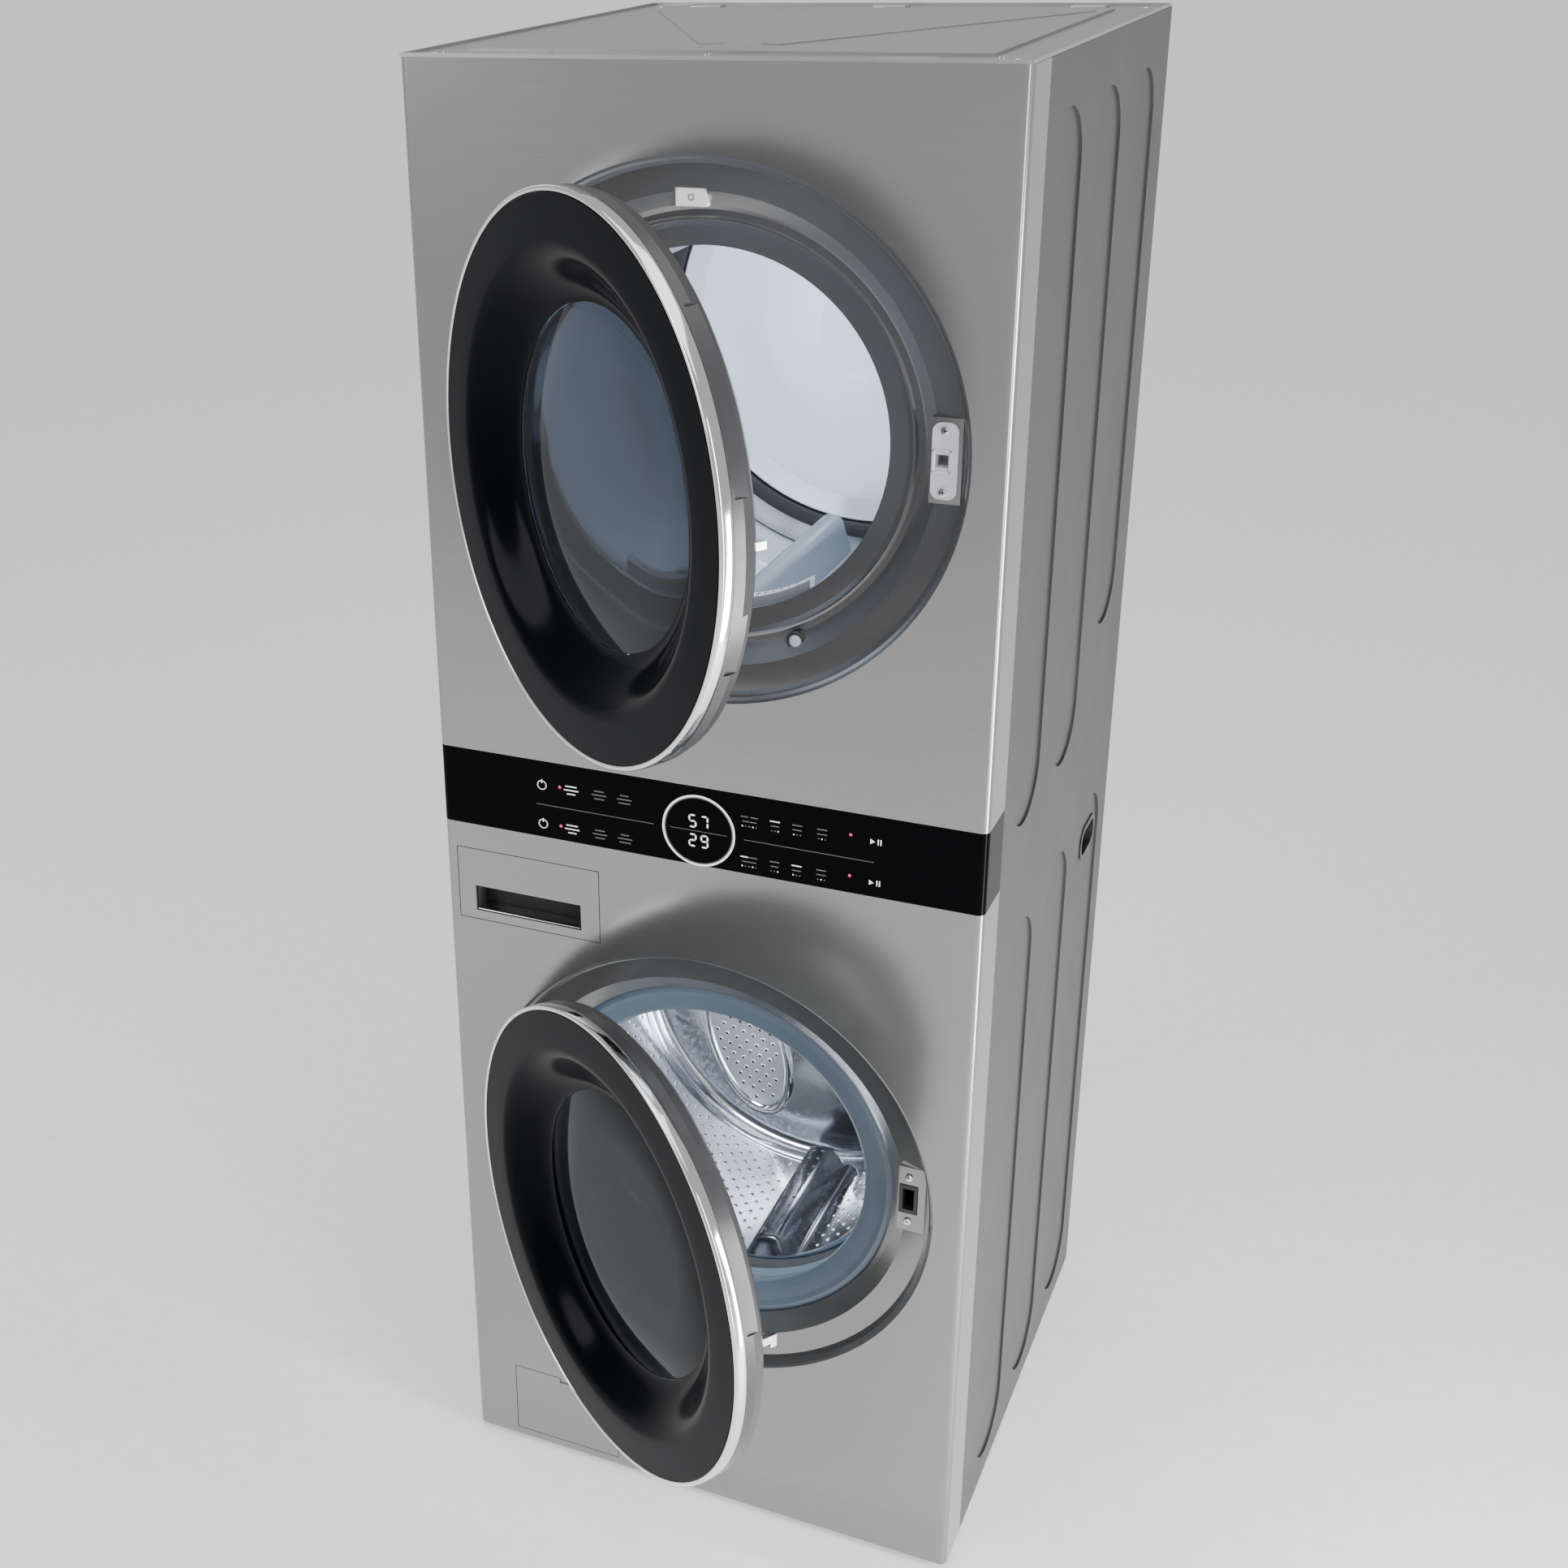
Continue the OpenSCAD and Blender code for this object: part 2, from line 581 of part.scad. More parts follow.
module dryer_door_fittings() {
  color([0.60, 0.61, 0.63]) swung(dryer_ajar) {
    hinge_leaf(dryer_z);
    union() {
      slab([latch_x - 10, latch_x + 10], [-1, 2.1], [latch_z - 16, latch_z + 16]);
      slab([latch_x - 3.5, latch_x + 3.5], [0, pad_d + 12], [latch_z - 4, latch_z + 4]);
    }
  }
}
hook_d = -2;
hook_pin_r = 2.5;
module washer_door_hinge() {
  color([0.60, 0.61, 0.63]) swung(washer_ajar) {
    hinge_leaf(washer_door_z);
    union() {
      for (s = [-1, 1]) slab([latch_x + s * 7 - 2, latch_x + s * 7 + 2], [hook_d - 9, hook_d + 4.1],
        [lock_z - 8, lock_z + 8]);
      slab([latch_x - 9, latch_x + 9], [hook_d - 12, hook_d - 8], [lock_z - 16, lock_z + 16]);
      at(latch_x, hook_d - 2, lock_z) rotate([0, 90, 0]) cylinder(r = hook_pin_r, h = 14, center = true);
    }
  }
}
module washer_door_hook() {
  color([0.82, 0.82, 0.84]) swung(washer_ajar) difference() {
    union() {
      slab([latch_x - 4, latch_x + 4], [hook_d - 6, pad_d + 18], [lock_z - 5, lock_z + 5]);
      slab([latch_x - 4, latch_x + 4], [pad_d + 10, pad_d + 18], [lock_z - 11, lock_z + 5]);
    }
    at(latch_x, hook_d - 2, lock_z) rotate([0, 90, 0]) cylinder(r = hook_pin_r + run, h = 20, center = true);
  }
}
module dryer_door_glass() { swung(dryer_ajar) door_glass(dryer_z); }
module dryer_door_trim() { swung(dryer_ajar) door_trim(dryer_z); }
module dryer_door_frame() { swung(dryer_ajar) door_frame(dryer_z, latch_z, [grip, upper_grip]); }
module washer_door_glass() { swung(washer_ajar) door_glass(washer_door_z); }
module washer_door_trim() { swung(washer_ajar) door_trim(washer_door_z); }
module washer_door_frame() { swung(washer_ajar) door_frame(washer_door_z, lock_z, [grip]); }

// ---- Washer tub, drum and drive ----
drum_front = 114;
drum_rear = drum_front + wash_drum_l;
tub_r = wash_drum_r + 2 + tub_gap;
tub_split = 260;
tub_front_d = drum_front - 18;
tub_rear_d = drum_rear + 32;
neck_r = gasket_r + 20;
hub_r = 50;
spring_spots = [for (sx = [-1, 1], d = [365, 470]) [sx * 225, d]];
ear_z = washer_door_z + sqrt(pow(tub_r + tub_t, 2) - 225 * 225);
damper_spots = [for (sx = [-1, 1], d = [300, 440]) [sx * 150, d]];
damper_top = washer_door_z - sqrt(pow(tub_r + tub_t, 2) - 150 * 150);

module tub_rear() {
  color([0.80, 0.81, 0.80]) difference() {
    union() {
      facing(tub_split, washer_door_z) cylinder(r = tub_r + tub_t, h = tub_rear_d - tub_split);
      facing(tub_split, washer_door_z) cylinder(r = tub_r + tub_t + 6, h = 8);
      facing(tub_rear_d - 1, washer_door_z) cylinder(r = hub_r, h = 21);
      for (p = spring_spots) slab([p[0] - 12, p[0] + 12], [p[1] - 12, p[1] + 12], [ear_z - 20, ear_z + 16]);
      for (p = damper_spots) slab([p[0] - 14, p[0] + 14], [p[1] - 14, p[1] + 14],
        [damper_top - 14, damper_top + 20]);
    }
    facing(tub_split - 1, washer_door_z) cylinder(r = tub_r, h = tub_rear_d - tub_split - tub_t + 1);
    facing(tub_split - 1, washer_door_z) cylinder(r = shaft_r + run, h = tub_rear_d);
  }
}
module tub_front() {
  color([0.80, 0.81, 0.80]) difference() {
    union() {
      facing(tub_front_d, washer_door_z) cylinder(r = tub_r + tub_t, h = tub_split - tub_front_d);
      facing(tub_split - 8, washer_door_z) cylinder(r = tub_r + tub_t + 6, h = 8);
      facing(tub_front_d - 12, washer_door_z) cylinder(r = neck_r + tub_t, h = 14);
    }
    facing(tub_front_d + tub_t, washer_door_z) cylinder(r = tub_r, h = tub_split);
    facing(tub_front_d - 20, washer_door_z) cylinder(r = neck_r, h = 60);
  }
}
weight_t = 28;
module counterweights() {
  color([0.42, 0.42, 0.41]) for (s = [-1, 1]) difference() {
    facing(tub_front_d - weight_t - touch_gap, washer_door_z)
      pipe(tub_r - 4, neck_r + tub_t + 6, weight_t);
    slab([-half_w, half_w], [0, 200], s > 0 ? [0, washer_door_z + 45] : [washer_door_z - 45, seam_z]);
  }
}
module motor_stator() {
  color([0.62, 0.35, 0.18]) facing(tub_rear_d, washer_door_z) union() {
    pipe(78, hub_r + 8, 48);
    for (i = [0 : 17]) rotate([0, 0, 20 * i]) translate([76, -8, 10]) cube([50, 16, 36]);
    translate([0, 0, 8]) pipe(90, 76, 4);
  }
}
rotor_r = 138;
module motor_rotor() {
  color([0.35, 0.36, 0.38]) facing(tub_rear_d + 12, washer_door_z) union() {
    pipe(rotor_r, rotor_r - 6, 46);
    translate([0, 0, 43]) cylinder(r = rotor_r, h = 3);
    translate([0, 0, 10]) cylinder(r = 24, h = 36);
    translate([0, 0, drum_rear - tub_rear_d]) cylinder(r = shaft_r, h = tub_rear_d - drum_rear + 16);
  }
}
module washer_drum() {
  color([0.75, 0.77, 0.80]) union() {
    facing(drum_front, washer_door_z) pipe(wash_drum_r + drum_t, wash_drum_r, wash_drum_l);
    facing(drum_front, washer_door_z) pipe(wash_drum_r + drum_t, neck_r - 14, drum_t);
    facing(drum_rear - drum_t, washer_door_z) difference() {
      union() {
        cylinder(r = wash_drum_r + drum_t / 2, h = drum_t);
        for (i = [0 : 2]) rotate([0, 0, 90 + 120 * i]) translate([135, 0, -10]) linear_extrude(11)
          stadium(110, 165);
      }
      for (i = [0 : 2]) rotate([0, 0, 90 + 120 * i]) translate([135, 0, -8]) linear_extrude(16)
        stadium(106, 161);
    }
    facing(drum_rear, washer_door_z) union() {
      for (i = [0 : 2]) rotate([0, 0, 30 + 120 * i]) translate([0, -18, -1]) cube([wash_drum_r - 4, 36, 13]);
      translate([0, 0, -1]) cylinder(r = 40, h = 9);
    }
  }
}
lifter_turn = 82;
module drum_lifters() {
  color([0.25, 0.26, 0.28]) facing(drum_front + 30, washer_door_z) for (i = [0 : 2])
    rotate([0, 0, lifter_turn + 120 * i]) intersection() {
      cylinder(r = wash_drum_r - seat_gap, h = wash_drum_l - 70);
      linear_extrude(wash_drum_l - 70) polygon([[wash_drum_r + 4, -38], [wash_drum_r + 4, 38],
        [wash_drum_r - 46, 20], [wash_drum_r - 56, 10], [wash_drum_r - 56, -10], [wash_drum_r - 46, -20]]);
    }
}
gasket_t = 4;
module gasket() {
  g = gasket_out_r + 1;
  l = gasket_r;
  n = neck_r;
  d0 = tub_front_d;
  w = g - l;
  front = [[g, 40], [g - 0.2 * w, 38.5], [g - 0.36 * w, 41], [l + 0.31 * w, 44], [l + 0.13 * w, 46],
    [l + 1, 49], [l, 52], [l + 2, 56], [l + 8, 58], [n - 8, 62], [n - 5, 70], [n - 8, d0 - 18], [n - gasket_t - 0.4, d0 - 12],
    [n - gasket_t - 0.4, d0 + 4], [n - 0.4, d0 + 4], [n - 0.4, d0 - 13], [n, d0 - 17], [n + 3, 70],
    [n + 1, 60], [l + 0.36 * w, 54], [g - 0.31 * w, 48], [g, 48]];
  color([0.42, 0.50, 0.58]) facing(0, washer_door_z) rotate_extrude($fn = 180) polygon(front);
}
module suspension_springs() {
  color([0.40, 0.41, 0.42]) for (p = spring_spots) union() {
    at(p[0], p[1], ear_z + 16) cylinder(r = 3, h = seam_z - 6 - ear_z - 16);
    at(p[0], p[1], ear_z + 30) cylinder(r = 13, h = seam_z - 6 - ear_z - 44);
  }
}
damper_r = 16;
rod_r = 6;
damper_h = 150;
module damper_cylinders() {
  color([0.25, 0.25, 0.26]) for (p = damper_spots) at(p[0], p[1], base_z + pan_t) difference() {
    cylinder(r = damper_r, h = damper_h);
    translate([0, 0, 60]) cylinder(r = rod_r + run, h = damper_h);
  }
}
module damper_rods() {
  color([0.75, 0.75, 0.77]) for (p = damper_spots)
    at(p[0], p[1], base_z + pan_t + 60 + tub_travel + 4)
      cylinder(r = rod_r, h = damper_top - 14 - (base_z + pan_t + 60 + tub_travel + 4));
}

// ---- Detergent drawer, valves and drain ----
house_d = [34, 34 + tray_l + 12];
drawer_t = 30;
pocket_x = [drawer_x[0] + 23, drawer_x[1] - 25];
pocket_z = [drawer_z[0] + 12, drawer_z[0] + 47];
module drawer_front() {
  color([0.50, 0.50, 0.51]) difference() {
    slab(drawer_x, [0, drawer_t], drawer_z);
    slab(pocket_x, [-2, drawer_t - 4], pocket_z);
  }
}
tray_x = [drawer_x[0] + 5, drawer_x[1] - 5];
tray_z = [drawer_z[0] + 5, drawer_z[1] - 14];
wall = 2;
tray_split = tray_x[0] + (tray_x[1] - tray_x[0]) * 0.58;
module drawer_tray() {
  color([0.80, 0.82, 0.84]) difference() {
    slab(tray_x, [drawer_t, drawer_t + tray_l], tray_z);
    slab([tray_x[0] + wall, tray_split], [drawer_t + wall, drawer_t + tray_l - wall],
      [tray_z[0] + wall, tray_z[1] + 1]);
    slab([tray_split + wall, tray_x[1] - wall], [drawer_t + wall, drawer_t + tray_l * 0.45],
      [tray_z[0] + wall, tray_z[1] + 1]);
    slab([tray_split + wall, tray_x[1] - wall], [drawer_t + tray_l * 0.45 + wall, drawer_t + tray_l - wall],
      [tray_z[0] + wall, tray_z[1] + 1]);
  }
}
module dispenser_housing() {
  color([0.72, 0.73, 0.74]) difference() {
    slab([tray_x[0] - slip - wall, tray_x[1] + slip + wall], house_d,
      [tray_z[0] - slip - wall, seam_z + 2]);
    slab([tray_x[0] - slip, tray_x[1] + slip], [house_d[0] - 1, house_d[1] - wall],
      [tray_z[0] - slip, drawer_z[1] - 2]);
  }
}
valve_x = [-120, -60];
valve_z = seam_z - 64;
valve_r = 13.3;
valve_out = 18;
drain_x = 120;
drain_z = seam_z - 90;
drain_r = 15;
module inlet_valves() {
  color([0.82, 0.83, 0.84]) for (x = valve_x) union() {
    facing(body_d - 60, valve_z, x) cylinder(r = valve_r - 2, h = 62);
    facing(body_d + 2, valve_z, x) cylinder(r = valve_r, h = valve_out);
    slab([x - 18, x + 18], [body_d - 60, body_d - 30], [valve_z - 20, valve_z + 20]);
    slab([x - 22, x + 22], [body_d - sheet - 3, body_d - sheet], [valve_z - 22, valve_z + 22]);
  }
}
pump_x = -200;
pump_z = 80;
cap_r = 30;
module drain_pump() {
  color([0.20, 0.21, 0.22]) union() {
    difference() {
      facing(34, pump_z, pump_x) cylinder(r = cap_r + 8, h = 106);
      facing(33, pump_z, pump_x) cylinder(r = cap_r + run, h = 62);
    }
    slab([pump_x - 30, pump_x + 30], [60, 130], [base_z + pan_t, pump_z - 34]);
    facing(139, pump_z, pump_x) cylinder(r = 28, h = 50);
    slab([pump_x - 8, pump_x + 8], [188, body_d - 26], [pump_z - 8, pump_z + 8]);
    slab([pump_x - 8, drain_x + 8], [body_d - 42, body_d - 26], [pump_z - 8, pump_z + 8]);
    slab([drain_x - 8, drain_x + 8], [body_d - 42, body_d - 26], [pump_z - 8, drain_z + 8]);
    facing(body_d - 40, drain_z, drain_x) cylinder(r = drain_r - 2, h = 44);
    facing(body_d + 2, drain_z, drain_x) cylinder(r = drain_r, h = 24);
  }
}
module drain_filter_cap() {
  color([0.80, 0.81, 0.82]) facing(0, pump_z, pump_x) union() {
    translate([0, 0, 28]) cylinder(r = cap_r + 6, h = 6 - touch_gap);
    translate([0, 0, 33]) cylinder(r = cap_r, h = 50);
    translate([-22, -5, 16]) cube([44, 10, 13]);
  }
}
module drain_hatch() {
  color([0.46, 0.46, 0.47]) union() {
    difference() {
      slab(hatch_x, [0, 10], hatch_z);
      slab([hatch_x[0] + 3, hatch_x[1] - 3], [3, 12], [hatch_z[0] + 14, hatch_z[1] - 3]);
      slab([pump_x - 12, pump_x + 12], [-1, 2], [hatch_z[1] - 8, hatch_z[1] + 1]);
    }
    at((hatch_x[0] + hatch_x[1]) / 2, hatch_pin[0], hatch_pin[1]) rotate([0, 90, 0])
      cylinder(r = pin_small, h = hatch_w + 2 * seam + 5, center = true);
  }
}

// ---- Dryer ----
dry_front = 70;
dry_rear = dry_front + dry_drum_l;
bulk_d = 56;
bulk_t = 2;
collar_d = 12;
grille_d = [65, 80];
slot_count = 20;
module front_bulkhead() {
  color([0.66, 0.67, 0.68]) difference() {
    union() {
      slab([sheet - half_w, half_w - sheet], [bulk_d, bulk_d + bulk_t],
        [dryer_z - dry_drum_r - 12, dryer_z + dry_drum_r + 12]);
      facing(bulk_d, dryer_z) cylinder(r = dry_open_r + 6, h = collar_d);
      facing(bulk_d, dryer_z) pipe(dry_drum_r - 6, dry_drum_r - 9, 24);
    }
    facing(bulk_d - 5, dryer_z) cylinder(r = dry_open_r + 3, h = 60);
    slab([-lint_w / 2 - slip, lint_w / 2 + slip], [bulk_d - 2, bulk_d + 40],
      [dryer_z - dry_drum_r - 20, dryer_z - 150]);
  }
  color([0.66, 0.69, 0.74]) difference() {
    union() {
      slab([-lint_w / 2, lint_w / 2], lint_d, [lint_box_z, dryer_z - lint_top]);
      slab([-lint_w / 2, lint_w / 2], [lint_d[0], scroll_d[0] - touch_gap],
        [seam_z + 30, lint_box_z]);
      slab([-lint_w / 2 - 12, lint_w / 2 + 12], [bulk_d - 2, bulk_d], [lint_box_z, dryer_z - lint_top - 6]);
      intersection() {
        facing(grille_d[0] - 1, dryer_z) cylinder(r = dry_open_r + 12, h = grille_d[1] - grille_d[0] + 1);
        slab([-lint_w / 2, lint_w / 2], [lint_d[1] - 2, grille_d[1]], [dryer_z - dry_open_r - 12, dryer_z - 150]);
      }
    }
    facing(grille_d[0] - 5, dryer_z) cylinder(r = dry_open_r - 7, h = 40);
    slab([wall - lint_w / 2, lint_w / 2 - wall], [lint_d[0] + wall, lint_d[1] - wall],
      [lint_box_z - 20, dryer_z - 150]);
    slab([wall - lint_w / 2, lint_w / 2 - wall], [lint_d[0] + wall, scroll_d[0] - wall],
      [seam_z + 30 + wall, lint_box_z - wall]);
    facing(scroll_d[0] - 10, motor_z, motor_x) cylinder(r = inlet_r, h = 20);
    for (i = [0 : slot_count - 1]) facing(grille_d[0] + 5, dryer_z)
      rotate([0, 0, 90 + (i - (slot_count - 1) / 2) * 2.9]) translate([dry_open_r - 10, -1.8, 0])
        cube([40, 3.6, 7]);
  }
}
module rear_bulkhead() {
  color([0.72, 0.74, 0.77]) union() {
    slab([-in_w, in_w], [dry_rear + 6, dry_rear + 7],
      [dryer_z - dry_drum_r - 12, dryer_z + dry_drum_r + 12]);
    facing(dry_rear - 12, dryer_z) pipe(dry_drum_r - 6, dry_drum_r - 9, 19);
    for (s = [-1, 1]) facing(dry_rear - 46, roller_z, s * roller_x) cylinder(r = axle_r, h = 54);
    difference() {
      slab([-150, 150], [dry_rear + 6, dry_rear + 44], [dryer_z - 180, dryer_z + 60]);
      slab([-149, 149], [dry_rear + 7, dry_rear + 43], [dryer_z - 179, dryer_z + 59]);
    }
  }
}
roller_angle = 35;
axle_r = 6;
roller_x = (dry_drum_r + roller_r + touch_gap) * sin(roller_angle);
roller_z = dryer_z - (dry_drum_r + roller_r + touch_gap) * cos(roller_angle);
module drum_roller(s) {
  color([0.20, 0.20, 0.21]) facing(dry_rear - 44, roller_z, s * roller_x) difference() {
    cylinder(r = roller_r, h = 24);
    translate([0, 0, -1]) cylinder(r = axle_r + run, h = 30);
  }
}
module roller_left() { drum_roller(-1); }
module roller_right() { drum_roller(1); }
module dryer_drum() {
  color([0.80, 0.83, 0.87]) facing(dry_front, dryer_z) pipe(dry_drum_r, dry_drum_r - drum_t, dry_drum_l);
}
baffle_turn = 93;
module drum_baffles() {
  color([0.70, 0.73, 0.78]) facing(dry_front + 60, dryer_z) for (i = [0 : 2])
    rotate([0, 0, baffle_turn + 120 * i]) intersection() {
      cylinder(r = dry_drum_r - drum_t - seat_gap, h = dry_drum_l - 120);
      linear_extrude(dry_drum_l - 120) polygon([[dry_drum_r + 4, -45], [dry_drum_r + 4, 45],
        [dry_drum_r - 80, 14], [dry_drum_r - 90, 6], [dry_drum_r - 90, -6], [dry_drum_r - 80, -14]]);
    }
}
motor_x = 40;
motor_z = seam_z + 121;
belt_d = 376;
belt_t = 3;
blower_r = 84;
module belt_loop(grow) {
  gap = touch_gap + 0.3 + grow;
  dx = motor_x;
  dz = motor_z - dryer_z;
  lean = atan2(dz, dx);
  wrap = acos((dry_drum_r - pulley_r) / norm([dx, dz]));
  polygon(concat(
    arc(dry_drum_r + gap, lean + wrap, lean + 360 - wrap, 90),
    arc(pulley_r + gap, lean - wrap, lean + wrap, 24, [dx, dz])));
}
module drum_belt() {
  color([0.10, 0.10, 0.11]) at(0, belt_d + 8, dryer_z) rotate([90, 0, 0]) linear_extrude(16)
    difference() {
      belt_loop(belt_t);
      belt_loop(0);
    }
}
motor_d = [200, 316];
module dryer_motor() {
  color([0.55, 0.56, 0.57]) difference() {
    union() {
      facing(motor_d[0], motor_z, motor_x) cylinder(r = 50, h = motor_d[1] - motor_d[0]);
      slab([motor_x - 40, motor_x + 40], [motor_d[0] + 10, motor_d[1] - 10], [seam_z + 4, motor_z - 40]);
    }
    facing(motor_d[0] - 1, motor_z, motor_x) cylinder(r = 8 + run, h = 200);
  }
}
scroll_d = [100, 172];
inlet_r = 50;
module blower_wheel() {
  color([0.30, 0.31, 0.33]) facing(0, motor_z, motor_x) union() {
    translate([0, 0, scroll_d[0] + 10]) cylinder(r = 8, h = belt_d + 14 - scroll_d[0] - 10);
    translate([0, 0, scroll_d[1] - 12]) cylinder(r = blower_r, h = 4);
    for (i = [0 : 17]) rotate([0, 0, 20 * i]) translate([blower_r - 24, -1.5, scroll_d[0] + 14])
      cube([23, 3, 48]);
    translate([0, 0, scroll_d[0] + 14]) pipe(blower_r, blower_r - 24, 3);
    translate([0, 0, scroll_d[0] + 20]) cylinder(r = 14, h = 40);
    translate([0, 0, belt_d - 10]) cylinder(r = pulley_r, h = 20);
  }
}
exhaust_x = -105;
exhaust_z = seam_z + 96;
scroll_r = 98;
module blower_duct() {
  color([0.66, 0.68, 0.69]) difference() {
    union() {
      facing(scroll_d[0], motor_z, motor_x) cylinder(r = scroll_r, h = scroll_d[1] - scroll_d[0]);
      slab([motor_x - 30, motor_x + 30], [scroll_d[0] + 10, scroll_d[1] - 10],
        [seam_z + 4, motor_z - scroll_r + 8]);
      slab([exhaust_x - exhaust_r - 6, motor_x], scroll_d, [motor_z - scroll_r, exhaust_z + exhaust_r + 6]);
      facing(scroll_d[1] - 1, exhaust_z, exhaust_x)
        cylinder(r = exhaust_r - 1, h = body_d + 6 - scroll_d[1]);
      facing(body_d + 2, exhaust_z, exhaust_x) cylinder(r = exhaust_r, h = exhaust_out - 2);
    }
    facing(scroll_d[0] + 2, motor_z, motor_x) cylinder(r = scroll_r - 2, h = scroll_d[1] - scroll_d[0] - 4);
    facing(scroll_d[0] - 2, motor_z, motor_x) cylinder(r = inlet_r, h = 20);
    facing(scroll_d[1] - 20, motor_z, motor_x) cylinder(r = 12, h = 40);
    slab([exhaust_x - exhaust_r - 4, motor_x], [scroll_d[0] + 2, scroll_d[1] - 2],
      [motor_z - scroll_r + 2, exhaust_z + exhaust_r + 4]);
    facing(scroll_d[1] - 10, exhaust_z, exhaust_x) cylinder(r = exhaust_r - 3, h = body_d);
  }
}
lint_w = 220;
lint_d = [45, 66];
lint_top = dry_open_r + 7;
lint_box_z = dryer_z - dry_drum_r - 14;
filter_d = [52, 63];
filter_l = 120;
module lint_filter() {
  color([0.62, 0.66, 0.71]) difference() {
    slab([20 - lint_w / 2, lint_w / 2 - 20], filter_d,
      [dryer_z - dry_open_r - 6 - filter_l, dryer_z - dry_open_r - 6]);
    slab([30 - lint_w / 2, lint_w / 2 - 30], [filter_d[0] + 2, filter_d[1] - 2],
      [dryer_z - dry_open_r + 2 - filter_l, dryer_z - dry_open_r]);
  }
}

// ---- Feet ----
module foot(i) {
  p = foot_spots[i];
  color([0.15, 0.15, 0.16]) at(p[0], p[1], 0) union() {
    cylinder(r1 = foot_r, r2 = foot_r - 3, h = base_z - 2);
    cylinder(r = stem_r, h = base_z + base_h + 16);
  }
}
module foot_front_left() { foot(0); }
module foot_front_right() { foot(1); }
module foot_back_left() { foot(2); }
module foot_back_right() { foot(3); }

base_frame();
washer_cabinet();
dryer_cabinet();
top_cover();
washer_front_panel();
dryer_front_panel();
control_panel();
control_board();
rear_covers();
dryer_base_pan();
side_handles();
washer_door_lock();
dryer_latch_plate();
drum_lamp_window();
front_bulkhead();
rear_bulkhead();
drain_filter_cap();
dryer_motor();
blower_duct();
drum_belt();
dispenser_housing();
inlet_valves();
drain_pump();
gasket();
suspension_springs();
damper_cylinders();
hinge_brackets();
case_screws();
tub_rear();
tub_front();
counterweights();
motor_stator();
damper_rods();
washer_drum();
drum_lifters();
motor_rotor();
dryer_drum();
drum_baffles();
roller_left();
roller_right();
blower_wheel();
lint_filter();
dryer_door_glass();
dryer_door_trim();
dryer_door_frame();
dryer_door_window();
dryer_door_fittings();
washer_door_glass();
washer_door_trim();
washer_door_frame();
washer_door_bowl();
washer_door_hinge();
washer_door_hook();
drawer_front();
drawer_tray();
drain_hatch();
foot_front_left();
foot_front_right();
foot_back_left();
foot_back_right();
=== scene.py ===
"""Laundry tower: a front-load washer under a dryer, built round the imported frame."""
import json
import math

import bpy
from mathutils import Matrix, Vector


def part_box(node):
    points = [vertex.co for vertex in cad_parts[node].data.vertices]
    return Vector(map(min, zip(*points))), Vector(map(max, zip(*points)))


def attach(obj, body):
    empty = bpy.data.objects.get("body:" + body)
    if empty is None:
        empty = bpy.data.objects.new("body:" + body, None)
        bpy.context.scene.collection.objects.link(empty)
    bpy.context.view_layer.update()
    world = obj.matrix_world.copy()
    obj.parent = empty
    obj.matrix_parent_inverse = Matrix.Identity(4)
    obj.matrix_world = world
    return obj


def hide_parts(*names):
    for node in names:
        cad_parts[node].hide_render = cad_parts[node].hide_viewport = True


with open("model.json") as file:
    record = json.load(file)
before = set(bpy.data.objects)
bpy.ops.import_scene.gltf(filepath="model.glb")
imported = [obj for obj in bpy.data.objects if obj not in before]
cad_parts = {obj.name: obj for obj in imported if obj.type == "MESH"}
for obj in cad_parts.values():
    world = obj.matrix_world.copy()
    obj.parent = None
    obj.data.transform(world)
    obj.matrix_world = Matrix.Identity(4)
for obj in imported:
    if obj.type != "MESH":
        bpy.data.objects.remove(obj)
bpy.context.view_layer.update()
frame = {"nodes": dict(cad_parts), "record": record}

# ---- Places taken from the frame ----
MM = 0.001
AXIS = 0.02  # an outline starts this far from the axis, because a ring needs some radius
JOINTS = {joint["name"]: joint for joint in frame["record"]["behaviour"]["joints"]}


def corner(node, end):
    """A corner of a node's box in millimetres: the lowest for 0, the highest for 1."""
    return [round(value * 1000, 1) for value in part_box(node)[end]]


def middle(node):
    """The middle of a node's box, across and up, in millimetres."""
    low, high = corner(node, 0), corner(node, 1)
    return (low[0] + high[0]) / 2, (low[2] + high[2]) / 2


# Metres, as the lights, the camera and the hinges are
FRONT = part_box("washer_front_panel")[0][1]
HINGE_X, HINGE_Y = JOINTS["dryer_door_hinge"]["pos_m"][:2]
# Millimetres, as the outlines and blocks are
WASHER_Z = JOINTS["washer_drum_spin"]["pos_m"][2] * 1000
DRYER_Z = JOINTS["dryer_drum_spin"]["pos_m"][2] * 1000
LOCK_X, LOCK_Z = middle("washer_door_lock")
PLATE_X, PLATE_Z = middle("dryer_latch_plate")
LAMP_X, LAMP_Z = middle("drum_lamp_window")
BAND_Z = middle("control_panel")[1]
DRAWER_X, _, DRAWER_Z = corner("drawer_front", 0)
COVER_X, _, COVER_Z = corner("top_cover", 1)
# Angles by which the doors stand open at rest
DRYER_AJAR = -math.radians(JOINTS["dryer_door_hinge"]["range_deg"][0])
WASHER_AJAR = -math.radians(JOINTS["washer_door_hinge"]["range_deg"][0])


